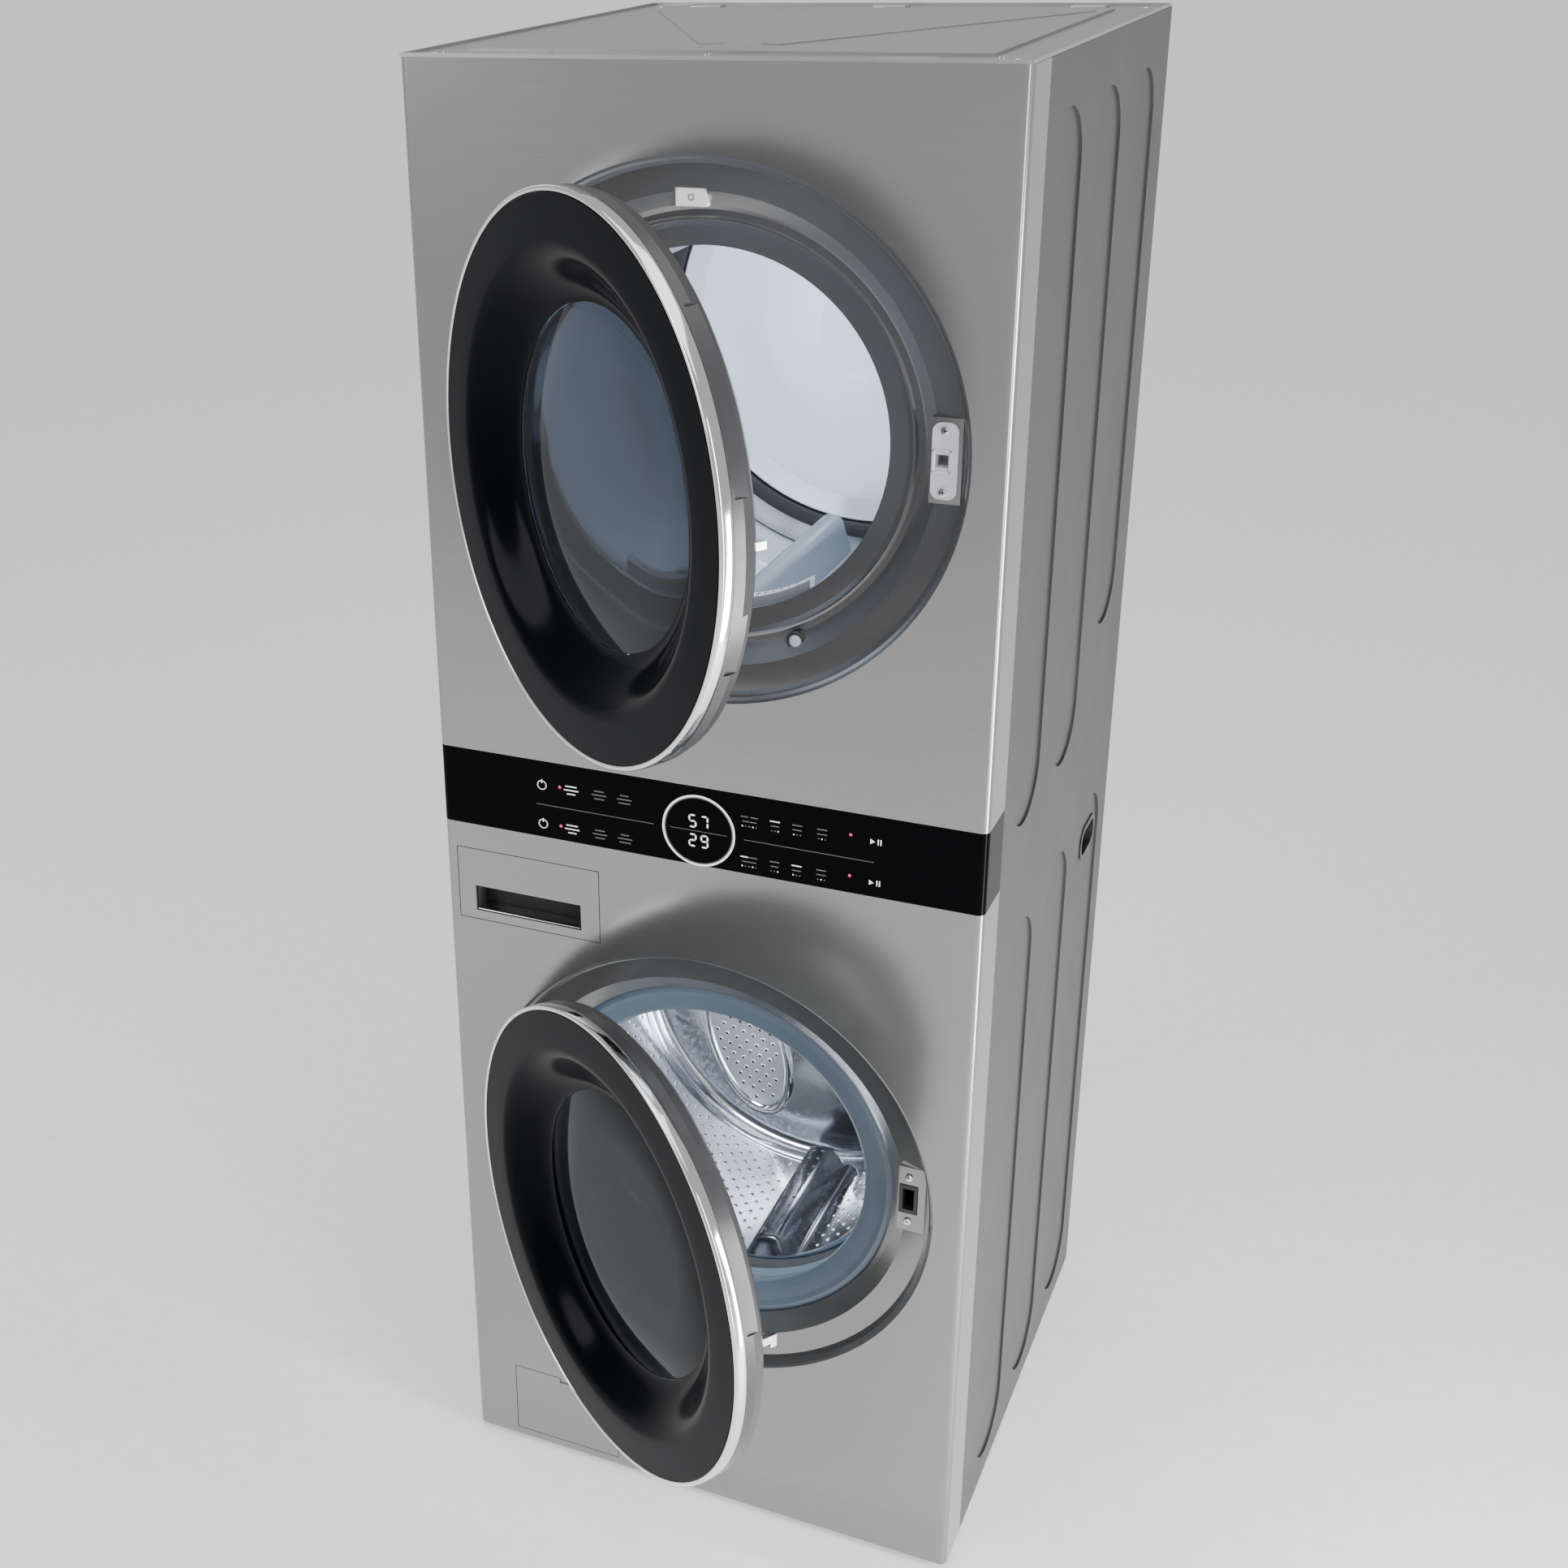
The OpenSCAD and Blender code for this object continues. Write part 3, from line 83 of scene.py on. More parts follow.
# ---- Camera, floor and light ----
def make_camera():
    """Above and to the right of the tower, looking down at it, with a slight tilt."""
    yaw, pitch, roll = 0.456438, 0.419212, -0.0335577
    place = (0.81475, FRONT - 2.01243, 2.08498)
    back = Vector((math.sin(yaw) * math.cos(pitch), -math.cos(yaw) * math.cos(pitch), math.sin(pitch)))
    ahead = -back
    right = ahead.cross(Vector((0, 0, 1))).normalized()
    up = right.cross(ahead)
    tilted_right = right * math.cos(roll) + up * math.sin(roll)
    tilted_up = up * math.cos(roll) - right * math.sin(roll)
    data = bpy.data.cameras.new("camera")
    camera = bpy.data.objects.new("camera", data)
    bpy.context.scene.collection.objects.link(camera)
    turn = Matrix((tilted_right, tilted_up, back)).transposed().to_4x4()
    camera.matrix_world = Matrix.Translation(place) @ turn
    data.sensor_width = 36
    data.lens = 47.04
    data.shift_x, data.shift_y = 0.1405, -0.0157
    data.clip_start, data.clip_end = 0.05, 60
    bpy.context.scene.camera = camera


def area_light(name, place, target, size, power, colour=(1, 1, 1)):
    data = bpy.data.lights.new(name, "AREA")
    data.shape = "RECTANGLE"
    data.size, data.size_y = size
    data.energy = power
    data.color = colour
    lamp = bpy.data.objects.new(name, data)
    bpy.context.scene.collection.objects.link(lamp)
    lamp.location = place
    lamp.rotation_euler = (Vector(target) - Vector(place)).to_track_quat("-Z", "Y").to_euler()


def make_stage():
    """Plain pale floor, even white surroundings, four soft lights and a lamp in each drum."""
    bpy.ops.object.select_all(action="DESELECT")
    bpy.ops.mesh.primitive_plane_add(size=170, location=(0, 0, 0))
    floor = bpy.context.object
    floor.name = "floor"
    floor.data.materials.append(glow("floor_white", (0.93, 0.93, 0.93), 0.42))
    world = bpy.data.worlds.new("studio")
    world.use_nodes = True
    world.node_tree.nodes["Background"].inputs["Color"].default_value = (1, 1, 1, 1)
    world.node_tree.nodes["Background"].inputs["Strength"].default_value = 0.55
    bpy.context.scene.world = world
    area_light("key_left", (-2.6, FRONT - 2.6, 2.9), (0, 0, 1.0), (1.6, 2.6), 80)
    area_light("strip_right", (2.2, FRONT - 1.6, 1.5), (0.34, FRONT, 1.1), (0.35, 3.0), 34)
    area_light("edge_right", (1.75, FRONT - 0.34, 0.62), (0.34, FRONT, 1.0), (0.34, 1.7), 70)
    area_light("top_soft", (0.2, -0.4, 3.6), (0, 0, 1.0), (2.6, 2.6), 40)
    cool = (0.93, 0.97, 1.0)
    dryer_spot, dryer_target = (0.0, FRONT + 0.12, 1.68), (0.05, FRONT + 0.6, 1.45)
    washer_spot, washer_target = (-0.02, FRONT + 0.14, 0.74), (0.05, FRONT + 0.46, 0.5)
    area_light("dryer_lamp", dryer_spot, dryer_target, (0.2, 0.1), 3.6, cool)
    area_light("washer_lamp", washer_spot, washer_target, (0.24, 0.08), 3.2, cool)


# ---- Materials ----
def new_material(name):
    material = bpy.data.materials.new(name)
    material.use_nodes = True
    tree = material.node_tree
    return material, tree, tree.nodes["Principled BSDF"]


def set_inputs(shader, **values):
    names = {"metal": "Metallic", "rough": "Roughness", "ior": "IOR", "through": "Transmission Weight",
             "specular": "Specular IOR Level"}
    for key, value in values.items():
        shader.inputs[names[key]].default_value = value


def add_noise(tree, scale, stretch=(1, 1, 1), detail=4.0):
    """Noise on the piece's own coordinates, stretched along an axis."""
    place = tree.nodes.new("ShaderNodeTexCoord")
    mapping = tree.nodes.new("ShaderNodeMapping")
    mapping.inputs["Scale"].default_value = stretch
    noise = tree.nodes.new("ShaderNodeTexNoise")
    noise.inputs["Scale"].default_value = scale
    noise.inputs["Detail"].default_value = detail
    tree.links.new(place.outputs["Object"], mapping.inputs["Vector"])
    tree.links.new(mapping.outputs["Vector"], noise.inputs["Vector"])
    return noise.outputs["Fac"]


def shade(colour, share):
    """A colour made darker or lighter by a share of itself."""
    return tuple(channel * share for channel in colour)


def ramp_between(tree, value, low, high, start=0.3, end=0.7):
    ramp = tree.nodes.new("ShaderNodeValToRGB")
    ramp.color_ramp.elements[0].position, ramp.color_ramp.elements[1].position = start, end
    ramp.color_ramp.elements[0].color = (*low, 1)
    ramp.color_ramp.elements[1].color = (*high, 1)
    tree.links.new(value, ramp.inputs["Fac"])
    return ramp.outputs["Color"]


def span(tree, value, low, high):
    node = tree.nodes.new("ShaderNodeMapRange")
    node.inputs["To Min"].default_value = low
    node.inputs["To Max"].default_value = high
    tree.links.new(value, node.inputs["Value"])
    return node.outputs["Result"]


def add_bump(tree, shader, value, strength, distance):
    bump = tree.nodes.new("ShaderNodeBump")
    bump.inputs["Strength"].default_value = strength
    bump.inputs["Distance"].default_value = distance
    tree.links.new(value, bump.inputs["Height"])
    tree.links.new(bump.outputs["Normal"], shader.inputs["Normal"])


def surface(name, colour, rough, metal=0.0, vary=0.06, scale=60, stretch=(1, 1, 1), bump=0.0, **more):
    """A finish with a slight mottle in its colour and roughness, and a fine bump."""
    material, tree, shader = new_material(name)
    set_inputs(shader, metal=metal, **more)
    noise = add_noise(tree, scale, stretch)
    light = tuple(min(1, channel) for channel in shade(colour, 1 + vary))
    tree.links.new(ramp_between(tree, noise, shade(colour, 1 - vary), light), shader.inputs["Base Color"])
    tree.links.new(span(tree, noise, rough * 0.85, rough * 1.15), shader.inputs["Roughness"])
    if bump:
        add_bump(tree, shader, noise, bump, 0.0004)
    return material


def brushed_steel(name, colour, rough, metal=0.82):
    """Stainless sheet brushed from side to side: long fine streaks along X over a broad soft mottle."""
    material, tree, shader = new_material(name)
    set_inputs(shader, metal=metal)
    streaks = add_noise(tree, 1.0, (7, 900, 900), 6.0)
    broad = add_noise(tree, 2.2, (0.6, 1, 1), 2.0)
    fine = ramp_between(tree, streaks, shade(colour, 0.955), shade(colour, 1.045), 0.25, 0.75)
    wide = ramp_between(tree, broad, (0.96, 0.96, 0.96), (1.04, 1.04, 1.04))
    mix = tree.nodes.new("ShaderNodeMix")
    mix.data_type, mix.blend_type = "RGBA", "MULTIPLY"
    mix.inputs["Factor"].default_value = 1.0
    tree.links.new(fine, mix.inputs["A"])
    tree.links.new(wide, mix.inputs["B"])
    tree.links.new(mix.outputs["Result"], shader.inputs["Base Color"])
    tree.links.new(span(tree, streaks, rough * 0.92, rough * 1.08), shader.inputs["Roughness"])
    add_bump(tree, shader, streaks, 0.014, 0.0003)
    return material


def glow(name, colour, strength):
    """A finish that gives off a little light of its own."""
    material, tree, shader = new_material(name)
    noise = add_noise(tree, 40)
    tree.links.new(ramp_between(tree, noise, shade(colour, 0.9), colour), shader.inputs["Base Color"])
    shader.inputs["Emission Color"].default_value = (*colour, 1)
    shader.inputs["Emission Strength"].default_value = strength
    set_inputs(shader, rough=0.4)
    return material


def see_through(name, colour, rough, through, ior, specular=0.5):
    return surface(name, colour, rough, vary=0.02, scale=14, through=through, ior=ior, specular=specular)


FINISHES = {
    "front": brushed_steel("brushed_graphite_steel", (0.27, 0.27, 0.272), 0.18),
    "side": surface("satin_grey_paint", (0.045, 0.046, 0.047), 0.42, 0.15, 0.05, 9, bump=0.02, specular=0.35),
    "cover": surface("coated_grey_steel", (0.34, 0.345, 0.35), 0.34, 0.7, 0.06, 7, bump=0.02),
    "zinc": surface("galvanised_sheet", (0.50, 0.51, 0.53), 0.38, 0.85, 0.16, 26, bump=0.05),
    "dark_steel": surface("dark_coated_steel", (0.12, 0.125, 0.13), 0.5, 0.5, 0.08, 30, bump=0.05),
    "band": surface("gloss_black_band", (0.0015, 0.0015, 0.002), 0.14, 0.0, 0.1, 5, specular=0.2, ior=1.16),
    "board": surface("circuit_green", (0.03, 0.14, 0.07), 0.4, 0.0, 0.2, 300, bump=0.1),
    "black": surface("black_moulding", (0.018, 0.018, 0.02), 0.38, 0.0, 0.2, 500, bump=0.08),
    "pale": surface("pale_moulding", (0.66, 0.66, 0.72), 0.35, 0.0, 0.03, 60, bump=0.02),
    "lens": surface("frosted_lens", (0.86, 0.86, 0.87), 0.25, 0.0, 0.02, 200),
    "cast": surface("cast_motor_shell", (0.36, 0.37, 0.38), 0.45, 0.8, 0.12, 180, bump=0.15),
    "duct": surface("grey_moulding", (0.50, 0.53, 0.58), 0.4, 0.0, 0.04, 120, bump=0.03),
    "belt": surface("belt_rubber", (0.02, 0.02, 0.022), 0.65, 0.0, 0.2, 300, bump=0.1),
    "gasket": surface("blue_grey_rubber", (0.105, 0.14, 0.185), 0.36, 0.0, 0.05, 40, bump=0.02),
    "damper": surface("dark_moulding", (0.04, 0.042, 0.045), 0.45, 0.0, 0.15, 200, bump=0.05),
    "spring": surface("coated_spring_steel", (0.20, 0.21, 0.22), 0.35, 0.8, 0.1, 90, bump=0.05),
    "rod": surface("polished_rod", (0.78, 0.78, 0.80), 0.12, 1.0, 0.03, 200),
    "screw": surface("bright_screw", (0.86, 0.86, 0.87), 0.16, 1.0, 0.04, 500),
    "hinge": surface("zinc_plated_hinge", (0.44, 0.45, 0.47), 0.3, 0.9, 0.1, 120, bump=0.04),
    "tub": surface("tub_moulding", (0.62, 0.63, 0.62), 0.5, 0.0, 0.06, 90, bump=0.06),
    "iron": surface("raw_cast_iron", (0.15, 0.15, 0.15), 0.7, 0.6, 0.2, 220, bump=0.3),
    "copper": surface("enamelled_copper", (0.50, 0.19, 0.07), 0.3, 0.9, 0.15, 400, (1, 1, 6), 0.2),
    "drum": surface("bright_drum_steel", (0.72, 0.74, 0.79), 0.13, 1.0, 0.05, 8),
    # Lighter, glossier copy of the drum steel for raised rims and beads: painted highlight.
    "drum_steel_highlight": surface("drum_steel_painted_highlight", (0.86, 0.88, 0.92), 0.1, 1.0, 0.03, 20),
    "drum_plate": surface("satin_drum_plate", (0.50, 0.52, 0.56), 0.38, 0.8, 0.04, 30),
    "lifter": surface("dark_chromed_lifter", (0.10, 0.105, 0.12), 0.14, 0.9, 0.1, 20),
    "dryer_wall": surface("pale_drum_coat", (0.80, 0.85, 0.92), 0.22, 0.25, 0.02, 6),
    "baffle": surface("grey_blue_moulding", (0.17, 0.19, 0.235), 0.34, 0.0, 0.04, 30, bump=0.02),
    "roller": surface("hard_roller_rubber", (0.05, 0.05, 0.055), 0.6, 0.0, 0.1, 200, bump=0.1),
    "glass_ring": surface("black_glass", (0.001, 0.0014, 0.003), 0.16, 0.0, 0.1, 3, specular=0.22, ior=1.2),
    "pane": see_through("smoked_pane", (0.085, 0.094, 0.108), 0.02, 0.92, 1.2, 0.3),
    "pane_dark": see_through("dark_smoked_pane", (0.022, 0.028, 0.04), 0.02, 0.92, 1.2, 0.25),
    "inner_pane": see_through("inner_window", (0.80, 0.85, 0.92), 0.03, 0.95, 1.3),
    "bowl": see_through("greenish_bowl_glass", (0.56, 0.70, 0.68), 0.02, 0.97, 1.5),
    "chrome": surface("bright_chrome", (0.80, 0.80, 0.82), 0.08, 1.0, 0.03, 5),
    "door_grey": surface("dark_grey_door_frame", (0.045, 0.045, 0.048), 0.30, 0.1, 0.05, 50, bump=0.02),
    "tray": surface("tray_moulding", (0.66, 0.69, 0.73), 0.35, 0.0, 0.04, 70, bump=0.02),
    "foot": surface("black_foot", (0.02, 0.02, 0.022), 0.6, 0.0, 0.1, 300, bump=0.1),
    "ink": glow("white_display_ink", (0.85, 0.87, 0.90), 0.55),
    "ink_dim": glow("dim_display_ink", (0.10, 0.105, 0.11), 0.06),
    "magenta": glow("magenta_mark", (0.75, 0.02, 0.28), 0.5),
    # Near-black for holes, screw crosses and the drawer grip: painted shade in recesses.
    "painted_shade_black": surface("painted_shade_black", (0.006, 0.006, 0.006), 0.7, 0.0, 0.1, 90),
}
NODE_FINISH = {
    "front": ["washer_front_panel", "dryer_front_panel", "drawer_front", "drain_hatch"],
    "side": ["washer_cabinet", "dryer_cabinet"],
    "cover": ["top_cover"],
    "zinc": ["rear_covers", "dryer_base_pan", "rear_bulkhead"],
    "dark_steel": ["base_frame", "motor_rotor"],
    "band": ["control_panel"], "board": ["control_board"],
    "black": ["side_handles", "washer_door_lock"],
    "pale": ["dryer_latch_plate", "inlet_valves", "drain_filter_cap"],
    "lens": ["drum_lamp_window"], "cast": ["dryer_motor"],
    "duct": ["front_bulkhead", "blower_duct", "dispenser_housing", "lint_filter", "blower_wheel"],
    "belt": ["drum_belt"], "gasket": ["gasket"],
    "damper": ["drain_pump", "damper_cylinders"], "spring": ["suspension_springs"],
    "rod": ["damper_rods"], "screw": ["case_screws"],
    "hinge": ["hinge_brackets", "dryer_door_fittings", "washer_door_hinge"],
    "tub": ["tub_rear", "tub_front"], "iron": ["counterweights"], "copper": ["motor_stator"],
    "drum": ["washer_drum"], "lifter": ["drum_lifters"], "dryer_wall": ["dryer_drum"],
    "baffle": ["drum_baffles"], "roller": ["roller_left", "roller_right"],
    "glass_ring": ["dryer_door_glass", "washer_door_glass"], "inner_pane": ["dryer_door_window"],
    "bowl": ["washer_door_bowl"],
    "chrome": ["dryer_door_trim", "washer_door_trim", "washer_door_hook"],
    "door_grey": ["dryer_door_frame", "washer_door_frame"], "tray": ["drawer_tray"],
    "foot": ["foot_front_left", "foot_front_right", "foot_back_left", "foot_back_right"],
}


def finish_cad_nodes():
    for finish, nodes in NODE_FINISH.items():
        for node in nodes:
            for slot in frame["nodes"][node].material_slots:
                slot.material = FINISHES[finish]


# ---- Modelling helpers ----
def only(obj):
    """Leaves one object selected, or none, in object mode."""
    if bpy.context.mode != "OBJECT":
        bpy.ops.object.mode_set(mode="OBJECT")
    bpy.ops.object.select_all(action="DESELECT")
    if obj is not None:
        obj.select_set(True)
        bpy.context.view_layer.objects.active = obj


def facing(x, depth, z):
    """Place whose own Z runs into the machine and whose own Y runs down; sizes in millimetres."""
    return Matrix.Translation((x * MM, FRONT + depth * MM, z * MM)) @ Matrix.Rotation(-math.pi / 2, 4, "X")


def swing(angle):
    """Turns a shut door open about the hinge line that both doors share."""
    hinge = Vector((HINGE_X, HINGE_Y, 0))
    return Matrix.Translation(hinge) @ Matrix.Rotation(-angle, 4, "Z") @ Matrix.Translation(-hinge)


def apply_modifier(obj, kind, **values):
    only(obj)
    modifier = obj.modifiers.new(kind.lower(), kind)
    for key, value in values.items():
        setattr(modifier, key, value)
    bpy.ops.object.modifier_apply(modifier=modifier.name)


def settle(obj, name, finish, body, place, smooth=38):
    """Fixes the finished piece in its place, with its finish and the body it rides on."""
    only(obj)
    obj.data.transform(Matrix.Scale(MM, 4))
    obj.data.transform(place)
    obj.data.update()
    obj.name = obj.data.name = name
    obj.data.materials.clear()
    obj.data.materials.append(FINISHES[finish])
    bpy.ops.object.shade_smooth_by_angle(angle=math.radians(smooth))
    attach(obj, body)
    return obj


def turned(outline, steps=144, closed=True):
    """A turned piece: an outline of (radius, depth) points swept round the depth axis."""
    only(None)
    ends_on_axis = outline[-1][0] == 0
    bpy.ops.mesh.primitive_circle_add(vertices=steps, radius=outline[0][0], fill_type="NOTHING",
                                      location=(0, 0, outline[0][1]))
    obj = bpy.context.object
    bpy.ops.object.transform_apply(location=True, rotation=False, scale=False)
    bpy.ops.object.mode_set(mode="EDIT")
    bpy.ops.mesh.select_all(action="SELECT")
    rings = outline[1:] + ([outline[0]] if closed and not ends_on_axis else [])
    last = outline[0]
    for ring in rings:
        bpy.ops.mesh.extrude_region_move(TRANSFORM_OT_translate={"value": (0, 0, ring[1] - last[1])})
        if ring[0] == 0:
            bpy.ops.mesh.merge(type="CENTER")
        else:
            ratio = ring[0] / last[0]
            bpy.ops.transform.resize(value=(ratio, ratio, 1), center_override=(0, 0, 0))
        last = ring
    bpy.ops.mesh.select_all(action="SELECT")
    bpy.ops.mesh.remove_doubles(threshold=0.001)
    bpy.ops.mesh.normals_make_consistent(inside=False)
    bpy.ops.object.mode_set(mode="OBJECT")
    return obj


def block(x, y, z, bevel):
    """A block between two corners in millimetres, with rounded edges."""
    only(None)
    centre = [(low + high) / 2 for low, high in (x, y, z)]
    size = [high - low for low, high in (x, y, z)]
    bpy.ops.mesh.primitive_cube_add(size=1, location=centre, scale=size)
    obj = bpy.context.object
    bpy.ops.object.transform_apply(location=True, rotation=True, scale=True)
    if bevel:
        apply_modifier(obj, "BEVEL", width=bevel, segments=3, limit_method="ANGLE")
    return obj


def joined(parts):
    """Several shapes as one mesh."""
    only(parts[0])
    for part in parts[1:]:
        part.select_set(True)
    if len(parts) > 1:
        bpy.ops.object.join()
    return bpy.context.object


def scattered(template, places):
    """Copies of one small shape at many places, as one mesh."""
    points = [tuple(v.co) for v in template.data.vertices]
    faces = [tuple(f.vertices) for f in template.data.polygons]
    all_points, all_faces = [], []
    for place in places:
        first = len(all_points)
        all_points += [tuple(place @ Vector(p)) for p in points]
        all_faces += [tuple(first + i for i in face) for face in faces]
    mesh = bpy.data.meshes.new("scattered")
    mesh.from_pydata(all_points, [], all_faces)
    bpy.data.objects.remove(template)
    obj = bpy.data.objects.new("scattered", mesh)
    bpy.context.scene.collection.objects.link(obj)
    return obj


def wave(start, end, low, high, steps):
    """Points of an S-curve that falls from high to low between two radii."""
    return [(start + (end - start) * i / steps, low + (high - low) * (1 + math.cos(math.pi * i / steps)) / 2)
            for i in range(steps + 1)]


def arc(centre, radius, start, end, steps):
    """Points along part of a circle, from one angle to another in degrees."""
    turns = [math.radians(start + (end - start) * i / steps) for i in range(steps + 1)]
    return [(centre[0] + radius * math.cos(turn), centre[1] + radius * math.sin(turn)) for turn in turns]


# ---- Doors, shaped shut round their own centre and then swung open ----
DOOR_FRONT = -38  # depth of a shut door's front edge
DOOR_EDGE = 291  # outer radius of the door glass
DISH_EDGE = 246  # radius where the glass begins to dip
DISH_MIDDLE = 181  # radius of the pane in the middle of the dish
DISH_DEEP = 37.5


def door_place(centre_z, angle):
    return swing(angle) @ facing(0, DOOR_FRONT, centre_z)


def door_glass(body, centre_z, angle, pane):
    """Black dished glass ring, with a smoked pane in the middle of the dish."""
    place = door_place(centre_z, angle)
    dish = wave(DISH_MIDDLE, DISH_EDGE, 0, DISH_DEEP, 26)
    front = dish + [(262, 0), (290.2, 0), (DOOR_EDGE, 0.8)]
    back = [(DOOR_EDGE, 4), (249, 4)] + [(radius + 1.5, depth + 4) for radius, depth in reversed(dish)]
    ring = settle(turned(front + back, 180), body + "_glass_ring", "glass_ring", body, place)
    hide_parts(body + "_glass")
    outline = [(radius, 41.8) for radius in (AXIS, 60, 120, 180)]
    outline += [(DISH_MIDDLE, 40.8), (DISH_MIDDLE, 38.6), (179.4, 37.8)]
    outline += [(radius, 37.6) for radius in (120, 60, 0)]
    settle(turned(outline), body + "_smoked_pane", pane, body, place)


def door_trim(body, centre_z, angle):
    """Bright ring round the glass, rounded at its front and back edges."""
    inside, outside = 291.3, 297
    outline = [(inside, 0.8), (291.9, -0.1), (293.2, -0.5), (294.9, -0.4), (296.2, 0.4), (296.9, 1.8),
               (outside, 4), (outside, 10), (296.7, 12.8), (295.8, 13.9), (294, 14), (inside, 14)]
    ring = turned(outline, 220)
    trim = settle(ring, body + "_chrome_ring", "chrome", body, door_place(centre_z, angle), 50)
    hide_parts(body + "_trim")


def dryer_inner_window():
    """Domed window on the inside of the dryer door, with a flat flange."""
    outer = [(214, 58.3), (214, 62), (204, 62), (200, 62.4), (197, 64), (193, 67.2), (186, 70), (172, 73.4),
             (150, 77), (120, 80.6), (85, 83.4), (45, 85.3), (0, 86)]
    inner = [(AXIS, 82), (45, 81.3), (85, 79.4), (120, 76.6), (150, 73), (172, 69.6), (184, 66.4), (190, 62),
             (190, 58.3)]
    dome = turned(inner + outer, 160)
    place = door_place(DRYER_Z, DRYER_AJAR)
    window = settle(dome, "dryer_inner_window", "inner_pane", "dryer_door", place)
    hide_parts("dryer_door_window")


def washer_bowl():
    """Deep glass cup; its upper part is cut back by a slanting face, blended into the wall."""
    cup = [(213.6, 58.2), (206, 58.2), (200, 59), (197.4, 62), (196.4, 70), (195, 88), (188, 100), (180, 112)]
    cup += arc((150, 124), 26, 15, 90, 7)
    cup += [(radius, 150) for radius in (135, 110, 85, 60, 35, 12, 0)]
    obj = turned(cup)
    face_depth, face_low = 142, 136  # depth of the slanting face at this distance below the middle
    slope = math.tan(math.radians(16))
    blend, reach = 90, 30
    for vertex in obj.data.vertices:
        limit = face_depth + (vertex.co.y - face_low) * slope
        gap = vertex.co.z - limit
        if gap > -reach:
            vertex.co.z -= (gap + math.sqrt(gap * gap + blend)) / 2
    apply_modifier(obj, "SOLIDIFY", thickness=4.2, offset=-1)
    place = door_place(WASHER_Z, WASHER_AJAR)
    bowl = settle(obj, "washer_glass_bowl", "bowl", "washer_door", place, 60)
    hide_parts("washer_door_bowl")


# ---- Washer drum ----
DRUM_R = 270  # inner radius of the drum's wall
DRUM_BACK = 462.6  # depth of the drum's back
OVAL_LONG, OVAL_WIDE = 118, 58  # half sizes of a pressed oval on the back
LIFTER_TURNS = [82 + 120 * k for k in range(3)]


def turned_to(angle):
    return Matrix.Rotation(math.radians(angle), 4, "Z")


def wall_spot(radius, side, depth):
    """Place on a drum's wall, looking at the axis."""
    return Matrix.Translation((radius, side, depth)) @ Matrix.Rotation(-math.pi / 2, 4, "Y")


def pressed_holes(name, size, places, rim_finish):
    """Small round holes with a raised rim, at many places in the drum; a near-black disc in each hole is
    painted shade.
    """
    rim = turned([(size, 0.1), (size * 0.86, 0.9), (size * 0.62, 1.0), (size * 0.5, 0.1)], 10, closed=False)
    # A near-black disc sunk in each hole: painted shade.
    hole = turned([(size * 0.55, 0.35), (0, 0.3)], 10)
    drum = facing(0, 0, WASHER_Z)
    settle(scattered(rim, places), name + "_dimples", rim_finish, "washer_drum", drum, 60)
    settle(scattered(hole, places), name + "_holes", "painted_shade_black", "washer_drum", drum)


def rolled_bead(start, flat):
    """A shallow bead rolled into the wall, from its deeper edge to its nearer one."""
    slant, height = 2.5, 1.1
    return [(DRUM_R, start), (DRUM_R - height, start - slant), (DRUM_R - height, start - slant - flat),
            (DRUM_R, start - 2 * slant - flat)]


def drum_shell():
    back = [(radius, DRUM_BACK) for radius in (AXIS, 70, 150, 248)]
    back += [(258, 460.4), (265.6, 453.5), (269.2, 443), (DRUM_R, 436)]
    wall = rolled_bead(431, 3.5) + [(DRUM_R, 300)] + rolled_bead(160, 4.5)
    lip = [(DRUM_R, 128), (268.6, 121), (264, 117), (257, 115.6), (213, 115.6), (209.6, 116.4), (208, 115.2),
           (208.8, 114.2), (211, 114), (262, 114), (268.5, 116)]
    outside = [(271.2, 123), (271.2, 441), (268, 453), (260, 462), (249, 464), (120, 464), (0, 464)]
    drum = facing(0, 0, WASHER_Z)
    shell = settle(turned(back + wall + lip + outside), "washer_drum_shell", "drum", "washer_drum", drum, 30)
    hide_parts("washer_drum")


def oval_bead():
    """A rounded bead, turned as a circle and then drawn out along an oval."""
    middle_r = 58
    bead = turned([(67, 0.6), (64, -1.8), (60, -4.2), (56, -4.6), (52.5, -2.8), (50, 0.6)], 96)
    for vertex in bead.data.vertices:
        turn = math.atan2(vertex.co.y, vertex.co.x)
        out = math.hypot(vertex.co.x, vertex.co.y) - middle_r
        normal = Vector((math.cos(turn) / OVAL_LONG, math.sin(turn) / OVAL_WIDE, 0)).normalized()
        on_oval = Vector((OVAL_LONG * math.cos(turn), OVAL_WIDE * math.sin(turn), vertex.co.z))
        vertex.co = on_oval + normal * out
    return bead


def oval_holes(spot):
    """Places of the holes inside one pressed oval, in staggered rows."""
    column_gap, row_gap = 17, 13.6
    half_long, half_wide = 100, 45
    places = []
    for column in range(-6, 7):
        for row in range(-3, 4):
            x = column * column_gap + (column_gap / 2 if row % 2 else 0)
            y = row * row_gap
            if (x / half_long) ** 2 + (y / half_wide) ** 2 < 1:
                places.append(spot @ Matrix.Translation((x, y, -0.6)) @ Matrix.Rotation(math.pi, 4, "X"))
    return places


